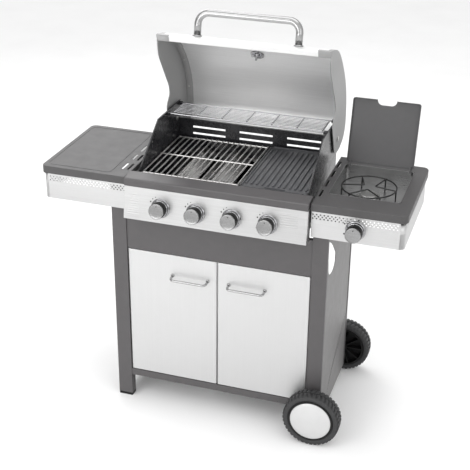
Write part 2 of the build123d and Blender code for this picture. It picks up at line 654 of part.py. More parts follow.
# ------------------------------------------------------------- side burner
with BuildPart() as side_burner_pan:
    x0, x1, y0, y1 = PAN
    slab(x0, x1, y0, y1, 826, SHELF_TOP + 0.8)
    fillet(side_burner_pan.edges().filter_by(Axis.Z), 12)
    with BuildSketch(Plane.XY.offset(827)) as s:
        with Locations(((x0 + x1) / 2, yy((y0 + y1) / 2))):
            RectangleRounded(x1 - x0 - 2.4, y1 - y0 - 2.4, 10.8)
    extrude(s.sketch, amount=64, mode=Mode.SUBTRACT)
    with BuildSketch(Plane.XY.offset(816)) as c:
        with Locations((462, yy(205))):
            Circle(21)
    extrude(c.sketch, amount=14, mode=Mode.SUBTRACT)
    # hinge ears at the back of the pan, bored for the lid's pins
    for x in (362, 578):
        profile_x(((LID_PIVOT[0] - 4, 875), (LID_PIVOT[0] - 4, LID_PIVOT[1] + 4), (LID_PIVOT[0] + 4, LID_PIVOT[1] + 4), (LID_PIVOT[0] + 4, 886), (344, 882), (344, 872)), x - 1, x + 1)
        rod((x - 3, LID_PIVOT[0], LID_PIVOT[1]), (x + 3, LID_PIVOT[0], LID_PIVOT[1]), 2.0 + RUN, mode=Mode.SUBTRACT)

TR = (462, 205)
with BuildPart() as side_burner_head:
    rod((TR[0], TR[1], 803), (TR[0], TR[1], 838), 20.5)
    rod((TR[0], TR[1], 836), (TR[0], TR[1], 844), 38)
    rod((TR[0], TR[1], 844), (TR[0], TR[1], 849), 30)
    fillet(side_burner_head.edges().filter_by(GeomType.CIRCLE).group_by(Axis.Z)[-1], 2)
    rod((TR[0], 26, 812), (TR[0], TR[1] - 4, 812), 9)

# wire pot stand: a ring on legs with three V-shaped fingers
with BuildPart() as trivet:
    zt = 873.0
    with BuildSketch(Plane.XY.offset(zt - 2.4)) as s:
        with Locations((TR[0], yy(TR[1]))):
            Circle(93.5)
            Circle(88.5, mode=Mode.SUBTRACT)
    extrude(s.sketch, amount=4.8)
    for k in range(3):
        a = math.radians(30 + 120 * k)
        tip = (TR[0] + 22 * math.cos(a), TR[1] + 22 * math.sin(a), zt)
        with Locations((tip[0], yy(tip[1]), zt)):
            Sphere(2.5)
        for d in (-34, 34):
            e = a + math.radians(d)
            end = (TR[0] + 91 * math.cos(e), TR[1] + 91 * math.sin(e), zt)
            rod(tip, end, 2.5)
            rod((end[0], end[1], 827.4), end, 2.4)

# the lid stands open at rest, leaning a little back
LID_TILT = 104.0
LID_LEN = 222.0


def lid_frame():
    """x across, y from the hinge towards the free edge, z = outer (upper when shut) side"""
    t = math.radians(LID_TILT)
    up = Vector(0, math.sin(t - math.pi / 2), math.cos(t - math.pi / 2))
    out = Vector(0, math.cos(t - math.pi / 2), -math.sin(t - math.pi / 2))
    return Plane(origin=(470, yy(LID_PIVOT[0]), LID_PIVOT[1]), x_dir=(-1, 0, 0), z_dir=out)


with BuildPart() as side_burner_lid:
    lp = lid_frame()
    sgn = 1 if lp.y_dir.Z > 0 else -1
    with BuildSketch(lp.offset(5.0)) as s:
        with Locations((0, sgn * (LID_LEN / 2 + 6.5))):
            RectangleRounded(230, LID_LEN, 8)
    extrude(s.sketch, amount=1.4)
    with BuildSketch(lp.offset(-3.5)) as s:
        with Locations((0, sgn * (LID_LEN / 2 + 6.5))):
            RectangleRounded(230, LID_LEN, 8)
            RectangleRounded(227.2, LID_LEN - 2.8, 6.6, mode=Mode.SUBTRACT)
    extrude(s.sketch, amount=8.5)
    with BuildSketch(lp.offset(-8)) as s:
        with Locations((0, sgn * (LID_LEN + 6.5))):
            SlotOverall(66, 36)
    extrude(s.sketch, amount=20, mode=Mode.SUBTRACT)
    # hinge knuckles with their pins
    for sx in (-1, 1):
        xk = 470 + sx * 102
        lo, hi = sorted((xk, xk + sx * 3.5))
        with BuildSketch(lp.offset(-3.5)) as s:
            with Locations((-(xk + sx * 1.0 - 470), sgn * 4)):
                Rectangle(5, 20)
        extrude(s.sketch, amount=8.5)
        rod((xk, LID_PIVOT[0], LID_PIVOT[1]), (xk + sx * 9.5, LID_PIVOT[0], LID_PIVOT[1]), 2.0)

# ----------------------------------------------------------------------- hood
# section in its open position, outer surface from the front lip to the rear edge
HOOD_OUT = ((248, 1303), (296, 1296), (350, 1279), (400, 1244), (447, 1195), (484, 1147), (511, 1098), (528, 1046), (534, 1000), (534, 962), (520, 930), (492, 908))
HOOD_T = 1.2


def hood_face(d0, d1, x):
    """face in the plane at x between two offsets of the hood's curve, built of arcs"""
    n = 36
    with BuildLine() as l:
        sp = Spline(*HOOD_OUT)
    rows = []
    for d in (d0, d1):
        pts = []
        for k in range(n + 1):
            p, g = l.line @ (k / n), l.line % (k / n)
            pts.append((yy(p.X + d * g.Y), p.Y - d * g.X))
        rows.append(pts)
    with BuildSketch(Plane(origin=(x, 0, 0), x_dir=(0, 1, 0), z_dir=(1, 0, 0))) as s:
        with BuildLine():
            for pts in rows:
                for k in range(0, n, 2):
                    ThreePointArc(pts[k], pts[k + 1], pts[k + 2])
            Line(rows[0][0], rows[1][0])
            Line(rows[0][-1], rows[1][-1])
        make_face()
    return s.sketch


def hood_point(t):
    """point on the hood's outer curve, t from 0 to 1, with its outward normal"""
    with BuildLine() as l:
        Spline(*HOOD_OUT)
    p, g = l.line @ t, l.line % t
    return (p.X, p.Y), (-g.Y, g.X)


SHELL_HALF = HOOD_HALF - 2.2
TH_P, TH_N = hood_point(0.372)
HN_P, HN_N = hood_point(0.105)
HANDLE_X = 177.0


def hood_bore(p, n, x, r):
    with BuildSketch(Plane(origin=(x, yy(p[0] - 12 * n[0]), p[1] - 12 * n[1]), z_dir=(0, n[0], n[1]))) as s:
        Circle(r)
    extrude(s.sketch, amount=24, mode=Mode.SUBTRACT)


with BuildPart() as hood_shell:
    f = hood_face(0, HOOD_T, -SHELL_HALF)
    extrude(f, amount=2 * SHELL_HALF)
    # rolled front lip
    lip = ((251, 1302.3), (247.2, 1303), (253.6, 1281.5), (255, 1281.9), (249.2, 1301.4), (251, 1301.9))
    profile_x(lip, -SHELL_HALF, SHELL_HALF)
    hood_bore(TH_P, TH_N, 0, 6)
    for x in (-HANDLE_X, HANDLE_X):
        hood_bore(HN_P, HN_N, x, 3.2)

CAP_IN = ((250, 1301), (254, 1238), (300, 1170), (350, 1096), (357, 1062), (334, 1036), (330, 1012), (352, 962), (372, 918), (420, 897))


def hood_cap(sx):
    """pressed end plate with a flange riveted inside the shell"""
    x0, x1 = sorted((sx * SHELL_HALF, sx * HOOD_HALF))
    rim = [(a, b) for a, b in HOOD_OUT]
    with BuildSketch(Plane(origin=(x0, 0, 0), x_dir=(0, 1, 0), z_dir=(1, 0, 0))) as s:
        with BuildLine():
            Spline(*[(yy(a), b) for a, b in rim])
            Polyline(*[(yy(a), b) for a, b in ((492, 908), (420, 897), (376, 908), (352, 962), (332, 1010), (336, 1036), (357, 1060), (352, 1094), (300, 1170), (262, 1228), (254, 1262), (252, 1281), (247.2, 1303), (248, 1303))])
        make_face()
    extrude(s.sketch, amount=x1 - x0)
    # flange inside the shell
    a0, a1 = sorted((sx * (SHELL_HALF - 26), sx * (SHELL_HALF + 0.6)))
    g = hood_face(HOOD_T + 0.3, HOOD_T + 1.9, a0)
    extrude(g, amount=a1 - a0)
    b0, b1 = sorted((sx * (SHELL_HALF - 30), sx * SHELL_HALF))
    slab(b0, b1, 240, 264, 1270, 1310, mode=Mode.SUBTRACT)
    rod((x0 - 3, HOOD_PIVOT[0], HOOD_PIVOT[1]), (x1 + 3, HOOD_PIVOT[0], HOOD_PIVOT[1]), 4.0 + RUN, mode=Mode.SUBTRACT)


with BuildPart() as hood_cap_left:
    hood_cap(-1)
with BuildPart() as hood_cap_right:
    hood_cap(1)

# shoulder bolts on which the hood turns
with BuildPart() as hood_hinge_pins:
    for sx in (-1, 1):
        P = HOOD_PIVOT
        rod((sx * (BOX_IN - 2), P[0], P[1]), (sx * (HOOD_HALF + 1), P[0], P[1]), 4.0)
        rod((sx * (BOX_IN - 2), P[0], P[1]), (sx * BOX_IN, P[0], P[1]), 8)
        rod((sx * (HOOD_HALF + 0.4), P[0], P[1]), (sx * (HOOD_HALF + 4), P[0], P[1]), 8)
        rod((sx * BOX_HALF, P[0], P[1]), (sx * (SHELL_HALF - 0.4), P[0], P[1]), 7)

with BuildPart() as hood_handle:
    def hp(x, h):
        return (x, HN_P[0] + h * HN_N[0], HN_P[1] + h * HN_N[1])
    bent_rod((hp(-HANDLE_X, 4), hp(-HANDLE_X, 80), hp(HANDLE_X, 80), hp(HANDLE_X, 4)), 12.5, 46, 11.0)
    for x in (-HANDLE_X, HANDLE_X):
        rod(hp(x, 0.2), hp(x, 6), 17)
        rod(hp(x, -7), hp(x, 1), 3.1)
        rod(hp(x, -7), hp(x, -2.2), 6.5)

with BuildPart() as thermometer:
    def tp(h):
        return (0, TH_P[0] + h * TH_N[0], TH_P[1] + h * TH_N[1])
    rod(tp(0.6), tp(4), 27)
    rod(tp(4), tp(14), 33)
    rod(tp(12), tp(15), 30, mode=Mode.SUBTRACT)
    rod(tp(-24), tp(2), 3.0)
    rod(tp(-3.7), tp(-2.4), 24)
    rod(tp(-9), tp(1), 5.9)
    rod(tp(-7), tp(-2.0), 11)

# ------------------------------------------------------------------- labels
NODES = {
    "legs_left": legs_left, "legs_right": legs_right, "leg_feet": leg_feet,
    "side_panel_left": side_panel_left, "side_panel_right": side_panel_right,
    "base_shelf": base_shelf, "lower_rail_front": lower_rail_front, "apron_front": apron_front,
    "rear_rails": rear_rails, "door_hinge_pins": door_hinge_pins,
    "door_left": door_left, "door_right": door_right,
    "door_handle_left": door_handle_left, "door_handle_right": door_handle_right,
    "axle": axle,
    "wheel_front_tyre": wheel_front_tyre, "wheel_front_rim": wheel_front_rim, "wheel_front_cap": wheel_front_cap,
    "wheel_rear_tyre": wheel_rear_tyre, "wheel_rear_rim": wheel_rear_rim, "wheel_rear_cap": wheel_rear_cap,
    "firebox_side_left": firebox_side_left, "firebox_side_right": firebox_side_right,
    "firebox_floor": firebox_floor, "firebox_rear_wall": firebox_rear_wall, "front_trim": front_trim,
    "control_panel": control_panel, "knob_bezels": knob_bezels, "manifold_pipe": manifold_pipe,
    "gas_valves": gas_valves, "burner_tubes": burner_tubes, "flame_tamers": flame_tamers,
    "cooking_grate": cooking_grate, "griddle": griddle, "warming_rack": warming_rack,
    "grease_tray": grease_tray,
    "shelf_left_top": shelf_left_top, "shelf_right_top": shelf_right_top,
    "shelf_left_fascia": shelf_left_fascia, "shelf_right_fascia": shelf_right_fascia,
    "side_burner_pan": side_burner_pan, "side_burner_head": side_burner_head,
    "trivet": trivet, "side_burner_lid": side_burner_lid,
    "hood_shell": hood_shell, "hood_cap_left": hood_cap_left, "hood_cap_right": hood_cap_right,
    "hood_hinge_pins": hood_hinge_pins, "hood_handle": hood_handle, "thermometer": thermometer,
}
for k in range(5):
    NODES["valve_stem_%d" % (k + 1)] = stems[k]
    NODES["knob_%d" % (k + 1)] = knobs[k]

for name, piece in NODES.items():
    piece.part.label = name
    export_step(piece.part, "parts/" + name + ".step")

print("handle foot", HN_P, HN_N, "gauge", TH_P, TH_N)
box = Compound(children=[p.part for p in NODES.values()]).bounding_box()
print("nodes", len(NODES), "box", box.min, box.max)
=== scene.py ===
import math

import bmesh
import bpy
import numpy as np
from mathutils import Matrix, Vector


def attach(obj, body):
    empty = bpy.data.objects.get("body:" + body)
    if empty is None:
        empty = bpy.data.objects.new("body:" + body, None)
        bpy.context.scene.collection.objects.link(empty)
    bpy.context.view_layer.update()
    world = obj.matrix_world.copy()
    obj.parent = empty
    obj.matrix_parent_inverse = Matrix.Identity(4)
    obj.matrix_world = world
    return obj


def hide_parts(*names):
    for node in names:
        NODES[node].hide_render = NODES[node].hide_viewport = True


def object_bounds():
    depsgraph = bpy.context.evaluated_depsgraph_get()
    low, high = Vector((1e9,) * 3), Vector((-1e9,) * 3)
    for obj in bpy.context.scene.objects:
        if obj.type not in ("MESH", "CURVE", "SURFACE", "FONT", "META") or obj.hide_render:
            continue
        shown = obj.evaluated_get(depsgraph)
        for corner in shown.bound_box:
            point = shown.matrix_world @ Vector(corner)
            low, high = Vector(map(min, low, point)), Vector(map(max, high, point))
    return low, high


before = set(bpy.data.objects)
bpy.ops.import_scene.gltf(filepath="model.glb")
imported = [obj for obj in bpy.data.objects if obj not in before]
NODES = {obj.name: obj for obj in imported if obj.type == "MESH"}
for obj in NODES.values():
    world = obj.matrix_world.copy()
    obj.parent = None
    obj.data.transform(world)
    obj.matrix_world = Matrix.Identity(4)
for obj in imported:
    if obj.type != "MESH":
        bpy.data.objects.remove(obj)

cad_lo, cad_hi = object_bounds()

FRONT = -222.3575          # mm, front face of the legs in the row frame


def P(x, y, z):
    """millimetres, y behind the legs' front face -> metres in the row frame"""
    return Vector((x / 1000.0, (FRONT + y) / 1000.0, z / 1000.0))


# ------------------------------------------------------------------ materials
def new_mat(name):
    m = bpy.data.materials.new(name)
    m.use_nodes = True
    nt = m.node_tree
    nt.nodes.clear()
    out = nt.nodes.new("ShaderNodeOutputMaterial")
    b = nt.nodes.new("ShaderNodeBsdfPrincipled")
    nt.links.new(b.outputs[0], out.inputs[0])
    return m, nt, b


def coords(nt, scale, rot=(0, 0, 0)):
    tc = nt.nodes.new("ShaderNodeTexCoord")
    mp = nt.nodes.new("ShaderNodeMapping")
    mp.inputs["Scale"].default_value = scale
    mp.inputs["Rotation"].default_value = rot
    nt.links.new(tc.outputs["Object"], mp.inputs["Vector"])
    return mp.outputs[0]


def noise(nt, vec, scale, detail=3.0, rough=0.55, distort=0.0):
    n = nt.nodes.new("ShaderNodeTexNoise")
    n.inputs["Scale"].default_value = scale
    n.inputs["Detail"].default_value = detail
    n.inputs["Roughness"].default_value = rough
    n.inputs["Distortion"].default_value = distort
    nt.links.new(vec, n.inputs["Vector"])
    return n.outputs["Fac"]


def ramp(nt, fac, stops):
    r = nt.nodes.new("ShaderNodeValToRGB")
    el = r.color_ramp.elements
    while len(el) < len(stops):
        el.new(0.5)
    for e, (p, c) in zip(el, stops):
        e.position = p
        e.color = (*c, 1) if isinstance(c, (tuple, list)) else (c, c, c, 1)
    nt.links.new(fac, r.inputs[0])
    return r.outputs[0]


def remap(nt, fac, lo, hi, a=0.25, b=0.75):
    r = nt.nodes.new("ShaderNodeMapRange")
    r.inputs["From Min"].default_value = a
    r.inputs["From Max"].default_value = b
    r.inputs["To Min"].default_value = lo
    r.inputs["To Max"].default_value = hi
    nt.links.new(fac, r.inputs["Value"])
    return r.outputs[0]


def math_node(nt, op, a, b):
    n = nt.nodes.new("ShaderNodeMath")
    n.operation = op
    for s, v in ((n.inputs[0], a), (n.inputs[1], b)):
        if isinstance(v, (int, float)):
            s.default_value = v
        else:
            nt.links.new(v, s)
    return n.outputs[0]


def bump(nt, height, strength, distance, normal=None):
    n = nt.nodes.new("ShaderNodeBump")
    n.inputs["Strength"].default_value = strength
    n.inputs["Distance"].default_value = distance
    nt.links.new(height, n.inputs["Height"])
    if normal is not None:
        nt.links.new(normal, n.inputs["Normal"])
    return n.outputs[0]


def mix(nt, fac, a, b):
    n = nt.nodes.new("ShaderNodeMix")
    n.data_type = "RGBA"
    for s, v in ((n.inputs[6], a), (n.inputs[7], b)):
        if isinstance(v, (tuple, list)):
            s.default_value = (*v, 1)
        else:
            nt.links.new(v, s)
    if isinstance(fac, (int, float)):
        n.inputs[0].default_value = fac
    else:
        nt.links.new(fac, n.inputs[0])
    return n.outputs[2]


def brushed(name, base, rough=0.3, along="X", grain=0.12, line=1500.0, spots=0.06, metallic=1.0, bump_d=0.00006):
    """metal with fine parallel scratches along one axis and faint handling marks"""
    m, nt, b = new_mat(name)
    sc = [line, line, line]
    sc["XYZ".index(along)] = line / 160.0
    fine = noise(nt, coords(nt, tuple(sc)), 1.0, 4.0, 0.7)
    sc2 = [line / 6.0] * 3
    sc2["XYZ".index(along)] = line / 900.0
    broad = noise(nt, coords(nt, tuple(sc2)), 1.0, 3.0, 0.6)
    smudge = noise(nt, coords(nt, (9, 9, 9)), 1.0, 4.0, 0.6, 0.4)
    c1 = tuple(max(v * (1 - grain), 0) for v in base)
    c2 = tuple(min(v * (1 + grain), 1) for v in base)
    col = mix(nt, remap(nt, fine, 0, 1, 0.3, 0.7), c1, c2)
    col = mix(nt, remap(nt, broad, 0, 0.45, 0.3, 0.7), col, tuple(v * (1 - grain * 0.8) for v in base))
    nt.links.new(col, b.inputs["Base Color"])
    r = math_node(nt, "ADD", remap(nt, fine, rough - 0.06, rough + 0.07), remap(nt, smudge, -spots, spots))
    nt.links.new(r, b.inputs["Roughness"])
    b.inputs["Metallic"].default_value = metallic
    nt.links.new(bump(nt, fine, 0.5, bump_d), b.inputs["Normal"])
    return m


def painted(name, base, rough=0.42, peel=1100.0, var=0.08, depth=0.00005, spec=0.5, metallic=0.0, dust=0.0, coat=0.0):
    """powder coat or paint: orange-peel bump, faint tone variation and dust"""
    m, nt, b = new_mat(name)
    v = coords(nt, (1, 1, 1))
    fine = noise(nt, v, peel, 2.0, 0.5)
    mid = noise(nt, v, 26.0, 5.0, 0.62, 0.3)
    big = noise(nt, v, 4.0, 3.0, 0.5)
    a = tuple(x * (1 - var) for x in base)
    c = tuple(min(x * (1 + var), 1) for x in base)
    col = mix(nt, remap(nt, mid, 0, 1, 0.3, 0.7), a, c)
    col = mix(nt, remap(nt, fine, 0, 0.35, 0.35, 0.7), col, tuple(min(x * (1 + 2.2 * var), 1) for x in base))
    if dust:
        col = mix(nt, remap(nt, big, 0, dust, 0.4, 0.75), col, (0.55, 0.54, 0.52))
    nt.links.new(col, b.inputs["Base Color"])
    r = math_node(nt, "ADD", remap(nt, mid, rough - 0.05, rough + 0.07), remap(nt, fine, -0.03, 0.03))
    nt.links.new(r, b.inputs["Roughness"])
    b.inputs["Metallic"].default_value = metallic
    b.inputs["Specular IOR Level"].default_value = spec
    b.inputs["Coat Weight"].default_value = coat
    b.inputs["Coat Roughness"].default_value = 0.12
    nt.links.new(bump(nt, fine, 0.6, depth), b.inputs["Normal"])
    return m


def cast(name, base, rough=0.55, grain=420.0, depth=0.00035, var=0.25, spec=0.5):
    """cast iron or rough enamel: pitted, mottled"""
    m, nt, b = new_mat(name)
    v = coords(nt, (1, 1, 1))
    pits = nt.nodes.new("ShaderNodeTexVoronoi")
    pits.inputs["Scale"].default_value = grain
    nt.links.new(v, pits.inputs["Vector"])
    rough_n = noise(nt, v, grain * 1.7, 3.0, 0.6)
    mott = noise(nt, v, 35.0, 5.0, 0.65, 0.5)
    col = mix(nt, remap(nt, mott, 0, 1, 0.3, 0.7), tuple(x * (1 - var) for x in base), tuple(min(x * (1 + var), 1) for x in base))
    col = mix(nt, remap(nt, rough_n, 0, 0.5, 0.45, 0.75), col, tuple(min(x * (1 + 2 * var) + 0.01, 1) for x in base))
    nt.links.new(col, b.inputs["Base Color"])
    nt.links.new(math_node(nt, "ADD", remap(nt, mott, rough - 0.1, rough + 0.1), remap(nt, rough_n, -0.05, 0.05)), b.inputs["Roughness"])
    b.inputs["Specular IOR Level"].default_value = spec
    h = math_node(nt, "ADD", pits.outputs["Distance"], rough_n)
    nt.links.new(bump(nt, h, 0.5, depth), b.inputs["Normal"])
    return m


def plated(name, base, rough=0.12, marks=0.08):
    """bright plating with faint water marks and pitting"""
    m, nt, b = new_mat(name)
    v = coords(nt, (1, 1, 1))
    big = noise(nt, v, 60.0, 5.0, 0.65, 0.6)
    fine = noise(nt, v, 900.0, 2.0, 0.5)
    nt.links.new(mix(nt, remap(nt, big, 0, 1, 0.35, 0.7), tuple(x * 0.93 for x in base), base), b.inputs["Base Color"])
    nt.links.new(math_node(nt, "ADD", remap(nt, big, rough, rough + marks), remap(nt, fine, -0.015, 0.02)), b.inputs["Roughness"])
    b.inputs["Metallic"].default_value = 1.0
    nt.links.new(bump(nt, fine, 0.3, 0.00002), b.inputs["Normal"])
    return m


M = {}
M["leg_paint"] = painted("leg_paint", (0.082, 0.078, 0.080), 0.44, var=0.06, spec=0.4)
M["side_paint"] = painted("side_paint", (0.165, 0.161, 0.161), 0.44, var=0.05, spec=0.4)
M["shelf_paint"] = painted("shelf_paint", (0.066, 0.064, 0.065), 0.44, var=0.06, spec=0.4)
M["lid_paint"] = painted("lid_paint", (0.070, 0.069, 0.071), 0.46, var=0.08)
M["trim_paint"] = painted("trim_paint", (0.074, 0.070, 0.072), 0.36, var=0.06)
M["cap_paint"] = painted("cap_paint", (0.31, 0.31, 0.31), 0.40, var=0.05, metallic=0.15)
M["door"] = brushed("door_silver", (0.61, 0.61, 0.61), 0.46, "Z", grain=0.04, line=1300, spots=0.03, bump_d=0.00003, metallic=0.9)
M["hood_steel"] = brushed("hood_steel", (0.90, 0.90, 0.90), 0.40, "X", grain=0.08, line=1400, spots=0.03, bump_d=0.00003, metallic=0.62)
M["panel_steel"] = brushed("panel_steel", (0.50, 0.50, 0.50), 0.38, "X", grain=0.14, line=1100, spots=0.03, bump_d=0.00004)
M["skirt_steel"] = brushed("skirt_steel", (0.58, 0.58, 0.58), 0.42, "X", grain=0.08, line=1100, spots=0.03, bump_d=0.00004)
M["enamel"] = painted("black_enamel", (0.016, 0.016, 0.018), 0.26, peel=500, var=0.3, depth=0.00014, spec=0.55)
M["pan"] = brushed("pan_steel", (0.42, 0.42, 0.42), 0.32, "X", grain=0.08, line=700, spots=0.08)
M["iron"] = cast("cast_iron_enamel", (0.072, 0.073, 0.078), 0.36, spec=0.45)
M["grate"] = plated("grate_nickel", (0.66, 0.65, 0.64), 0.22, 0.14)
M["chrome"] = plated("chrome", (0.40, 0.40, 0.41), 0.08, 0.06)
M["wire_black"] = painted("wire_enamel", (0.010, 0.010, 0.010), 0.30, peel=700, var=0.2, depth=0.00008, spec=0.5)
M["zinc"] = plated("zinc", (0.55, 0.55, 0.53), 0.30, 0.14)
M["brass"] = plated("brass", (0.62, 0.46, 0.20), 0.30, 0.12)
M["burner"] = brushed("burner_alloy", (0.58, 0.58, 0.57), 0.34, "X", grain=0.06, line=500, spots=0.08)
M["tube_steel"] = brushed("tube_steel", (0.62, 0.60, 0.57), 0.30, "Y", grain=0.09, line=800, spots=0.10)
M["tamer_steel"] = brushed("tamer_steel", (0.66, 0.65, 0.64), 0.28, "Y", grain=0.08, line=800, spots=0.08)
M["galv"] = plated("galvanised", (0.50, 0.51, 0.52), 0.38, 0.16)
M["knob_face"] = brushed("knob_face", (0.30, 0.30, 0.30), 0.24, "X", grain=0.14, line=1500, spots=0.03)
M["knob_grip"] = painted("knob_grip", (0.004, 0.004, 0.004), 0.32, peel=1500, var=0.2, depth=0.00004, spec=0.12)
M["plastic"] = painted("black_plastic", (0.008, 0.008, 0.008), 0.50, peel=900, var=0.2, depth=0.00007, spec=0.25)
M["rubber"] = cast("tyre_rubber", (0.030, 0.030, 0.031), 0.56, grain=900, depth=0.00012, var=0.2, spec=0.45)
M["wheel_silver"] = painted("wheel_silver", (0.60, 0.60, 0.60), 0.38, peel=1300, var=0.025, depth=0.00003, metallic=0.3)
M["handle_steel"] = brushed("handle_steel", (0.38, 0.38, 0.38), 0.22, "X", grain=0.06, line=1500, spots=0.03)
M["dial_white"] = painted("dial_white", (0.80, 0.80, 0.78), 0.45, peel=1500, var=0.02, depth=0.00001)
# black print for ticks, dots and setting marks; also used for the painted shade of the side-burner ports
M["print_and_shade_black"] = painted("print_and_port_shade_black", (0.02, 0.02, 0.02), 0.5, peel=1500, var=0.1, depth=0.00001)
M["red_ink"] = painted("needle_paint", (0.45, 0.03, 0.02), 0.4, peel=1500, var=0.1, depth=0.00001)


def glass_mat():
    m, nt, b = new_mat("gauge_glass")
    b.inputs["Base Color"].default_value = (0.95, 0.97, 0.97, 1)
    nt.links.new(remap(nt, noise(nt, coords(nt, (1, 1, 1)), 120.0, 3.0), 0.02, 0.08), b.inputs["Roughness"])
    b.inputs["Transmission Weight"].default_value = 1.0
    b.inputs["IOR"].default_value = 1.45
    return m


M["glass"] = glass_mat()

# ------------------------------------------------------------- mesh utilities
def add_object(name, bm, mat, body, replaces=(), smooth=None, bevel=0.0, bevel_angle=35, segs=2):
    bmesh.ops.recalc_face_normals(bm, faces=bm.faces[:])
    me = bpy.data.meshes.new(name)
    bm.to_mesh(me)
    bm.free()
    o = bpy.data.objects.new(name, me)
    bpy.context.scene.collection.objects.link(o)
    me.materials.append(M[mat])
    if bevel:
        bv = o.modifiers.new("edge", "BEVEL")
        bv.width = bevel
        bv.segments = segs
        bv.limit_method = "ANGLE"
        bv.angle_limit = math.radians(bevel_angle)
        bv.harden_normals = False
    if smooth is not None:
        me.shade_smooth()
        bpy.context.view_layer.objects.active = o
        o.select_set(True)
        bpy.ops.object.shade_auto_smooth(angle=math.radians(smooth))
        o.select_set(False)
        wn = o.modifiers.new("flat_faces", "WEIGHTED_NORMAL")
        wn.mode = "FACE_AREA"
        wn.weight = 100
        wn.keep_sharp = True
    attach(o, body)
    if replaces:
        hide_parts(*replaces)
    return o


def adopt(node, mat, body, bevel=0.0004, smooth=35, dissolve=True, name=None):
    """a refined copy of a CAD piece: welded, planar faces joined, edges eased"""
    src = NODES[node]
    bm = bmesh.new()
    bm.from_mesh(src.data)
    bmesh.ops.remove_doubles(bm, verts=bm.verts[:], dist=2e-6)
    if dissolve:
        bmesh.ops.dissolve_limit(bm, angle_limit=math.radians(0.6), verts=bm.verts[:], edges=bm.edges[:])
    return add_object(name or node + "_skin", bm, mat, body, (node,), smooth, bevel)


def sweep_into(bm, pts, r, seg=14, closed=False, cap=True, flat=1.0):
    """round wire through the points, with parallel-transported rings"""
    pts = [Vector(p) for p in pts]
    n = len(pts)
    tang = []
    for i in range(n):
        if closed:
            t = pts[(i + 1) % n] - pts[i - 1]
        else:
            t = pts[min(i + 1, n - 1)] - pts[max(i - 1, 0)]
        tang.append(t.normalized())
    up = Vector((0, 0, 1)) if abs(tang[0].z) < 0.9 else Vector((1, 0, 0))
    u = tang[0].cross(up).normalized()
    rings = []
    for i in range(n):
        u = (u - tang[i] * u.dot(tang[i])).normalized()
        w = tang[i].cross(u).normalized()
        rr = r[i] if isinstance(r, (list, tuple)) else r
        rings.append([bm.verts.new(pts[i] + (u * math.cos(a) + w * math.sin(a) * flat) * rr)
                      for a in (2 * math.pi * k / seg for k in range(seg))])
    for i in range(n if closed else n - 1):
        a, b = rings[i], rings[(i + 1) % n]
        for k in range(seg):
            bm.faces.new((a[k], a[(k + 1) % seg], b[(k + 1) % seg], b[k]))
    if cap and not closed:
        bm.faces.new(rings[0][::-1])
        bm.faces.new(rings[-1])


def round_path(pts, radius, steps=7, closed=False):
    """polyline with its corners rounded to the radius"""
    pts = [Vector(p) for p in pts]
    n = len(pts)
    out = []
    idx = range(n) if closed else range(1, n - 1)
    if not closed:
        out.append(pts[0])
    for i in idx:
        a, b, c = pts[i - 1], pts[i], pts[(i + 1) % n]
        d1, d2 = (a - b), (c - b)
        ang = d1.angle(d2)
        if ang > math.radians(179):
            out.append(b)
            continue
        cut = min(radius / math.tan(ang / 2), 0.49 * d1.length, 0.49 * d2.length)
        rad = cut * math.tan(ang / 2)
        p1 = b + d1.normalized() * cut
        p2 = b + d2.normalized() * cut
        centre = b + (d1.normalized() + d2.normalized()).normalized() * (rad / math.sin(ang / 2))
        v1, v2 = p1 - centre, p2 - centre
        tot = v1.angle(v2)
        ax = v1.cross(v2).normalized()
        for k in range(steps + 1):
            out.append(centre + Matrix.Rotation(tot * k / steps, 3, ax) @ v1)
    if not closed:
        out.append(pts[-1])
    return out


def lathe_into(bm, origin, axis, profile, seg=64, x_dir=None, closed=False):
    """revolve (radius, height) pairs about axis; metres"""
    axis = Vector(axis).normalized()
    x = Vector(x_dir) if x_dir else (Vector((1, 0, 0)) if abs(axis.x) < 0.9 else Vector((0, 1, 0)))
    x = (x - axis * x.dot(axis)).normalized()
    y = axis.cross(x)
    origin = Vector(origin)
    rings = []
    for r, h in profile:
        if r < 1e-7:
            rings.append([bm.verts.new(origin + axis * h)])
        else:
            rings.append([bm.verts.new(origin + axis * h + (x * math.cos(a) + y * math.sin(a)) * r)
                          for a in (2 * math.pi * k / seg for k in range(seg))])
    pairs = list(zip(rings, rings[1:]))
    if closed:
        pairs.append((rings[-1], rings[0]))
    for a, b in pairs:
        if len(a) == 1 and len(b) == 1:
            continue
        for k in range(seg):
            j = (k + 1) % seg
            if len(a) == 1:
                bm.faces.new((a[0], b[j], b[k]))
            elif len(b) == 1:
                bm.faces.new((a[k], a[j], b[0]))
            else:
                bm.faces.new((a[k], a[j], b[j], b[k]))


def prism_into(bm, outline, shift):
    """closed outline (list of vectors) swept by a vector"""
    a = [bm.verts.new(Vector(p)) for p in outline]
    b = [bm.verts.new(Vector(p) + Vector(shift)) for p in outline]
    bm.faces.new(a)
    bm.faces.new(b[::-1])
    n = len(a)
    for i in range(n):
        bm.faces.new((a[i], b[i], b[(i + 1) % n], a[(i + 1) % n]))


def box_into(bm, x0, x1, y0, y1, z0, z1):
    prism_into(bm, [P(x0, y0, z0), P(x1, y0, z0), P(x1, y1, z0), P(x0, y1, z0)], (0, 0, (z1 - z0) / 1000.0))


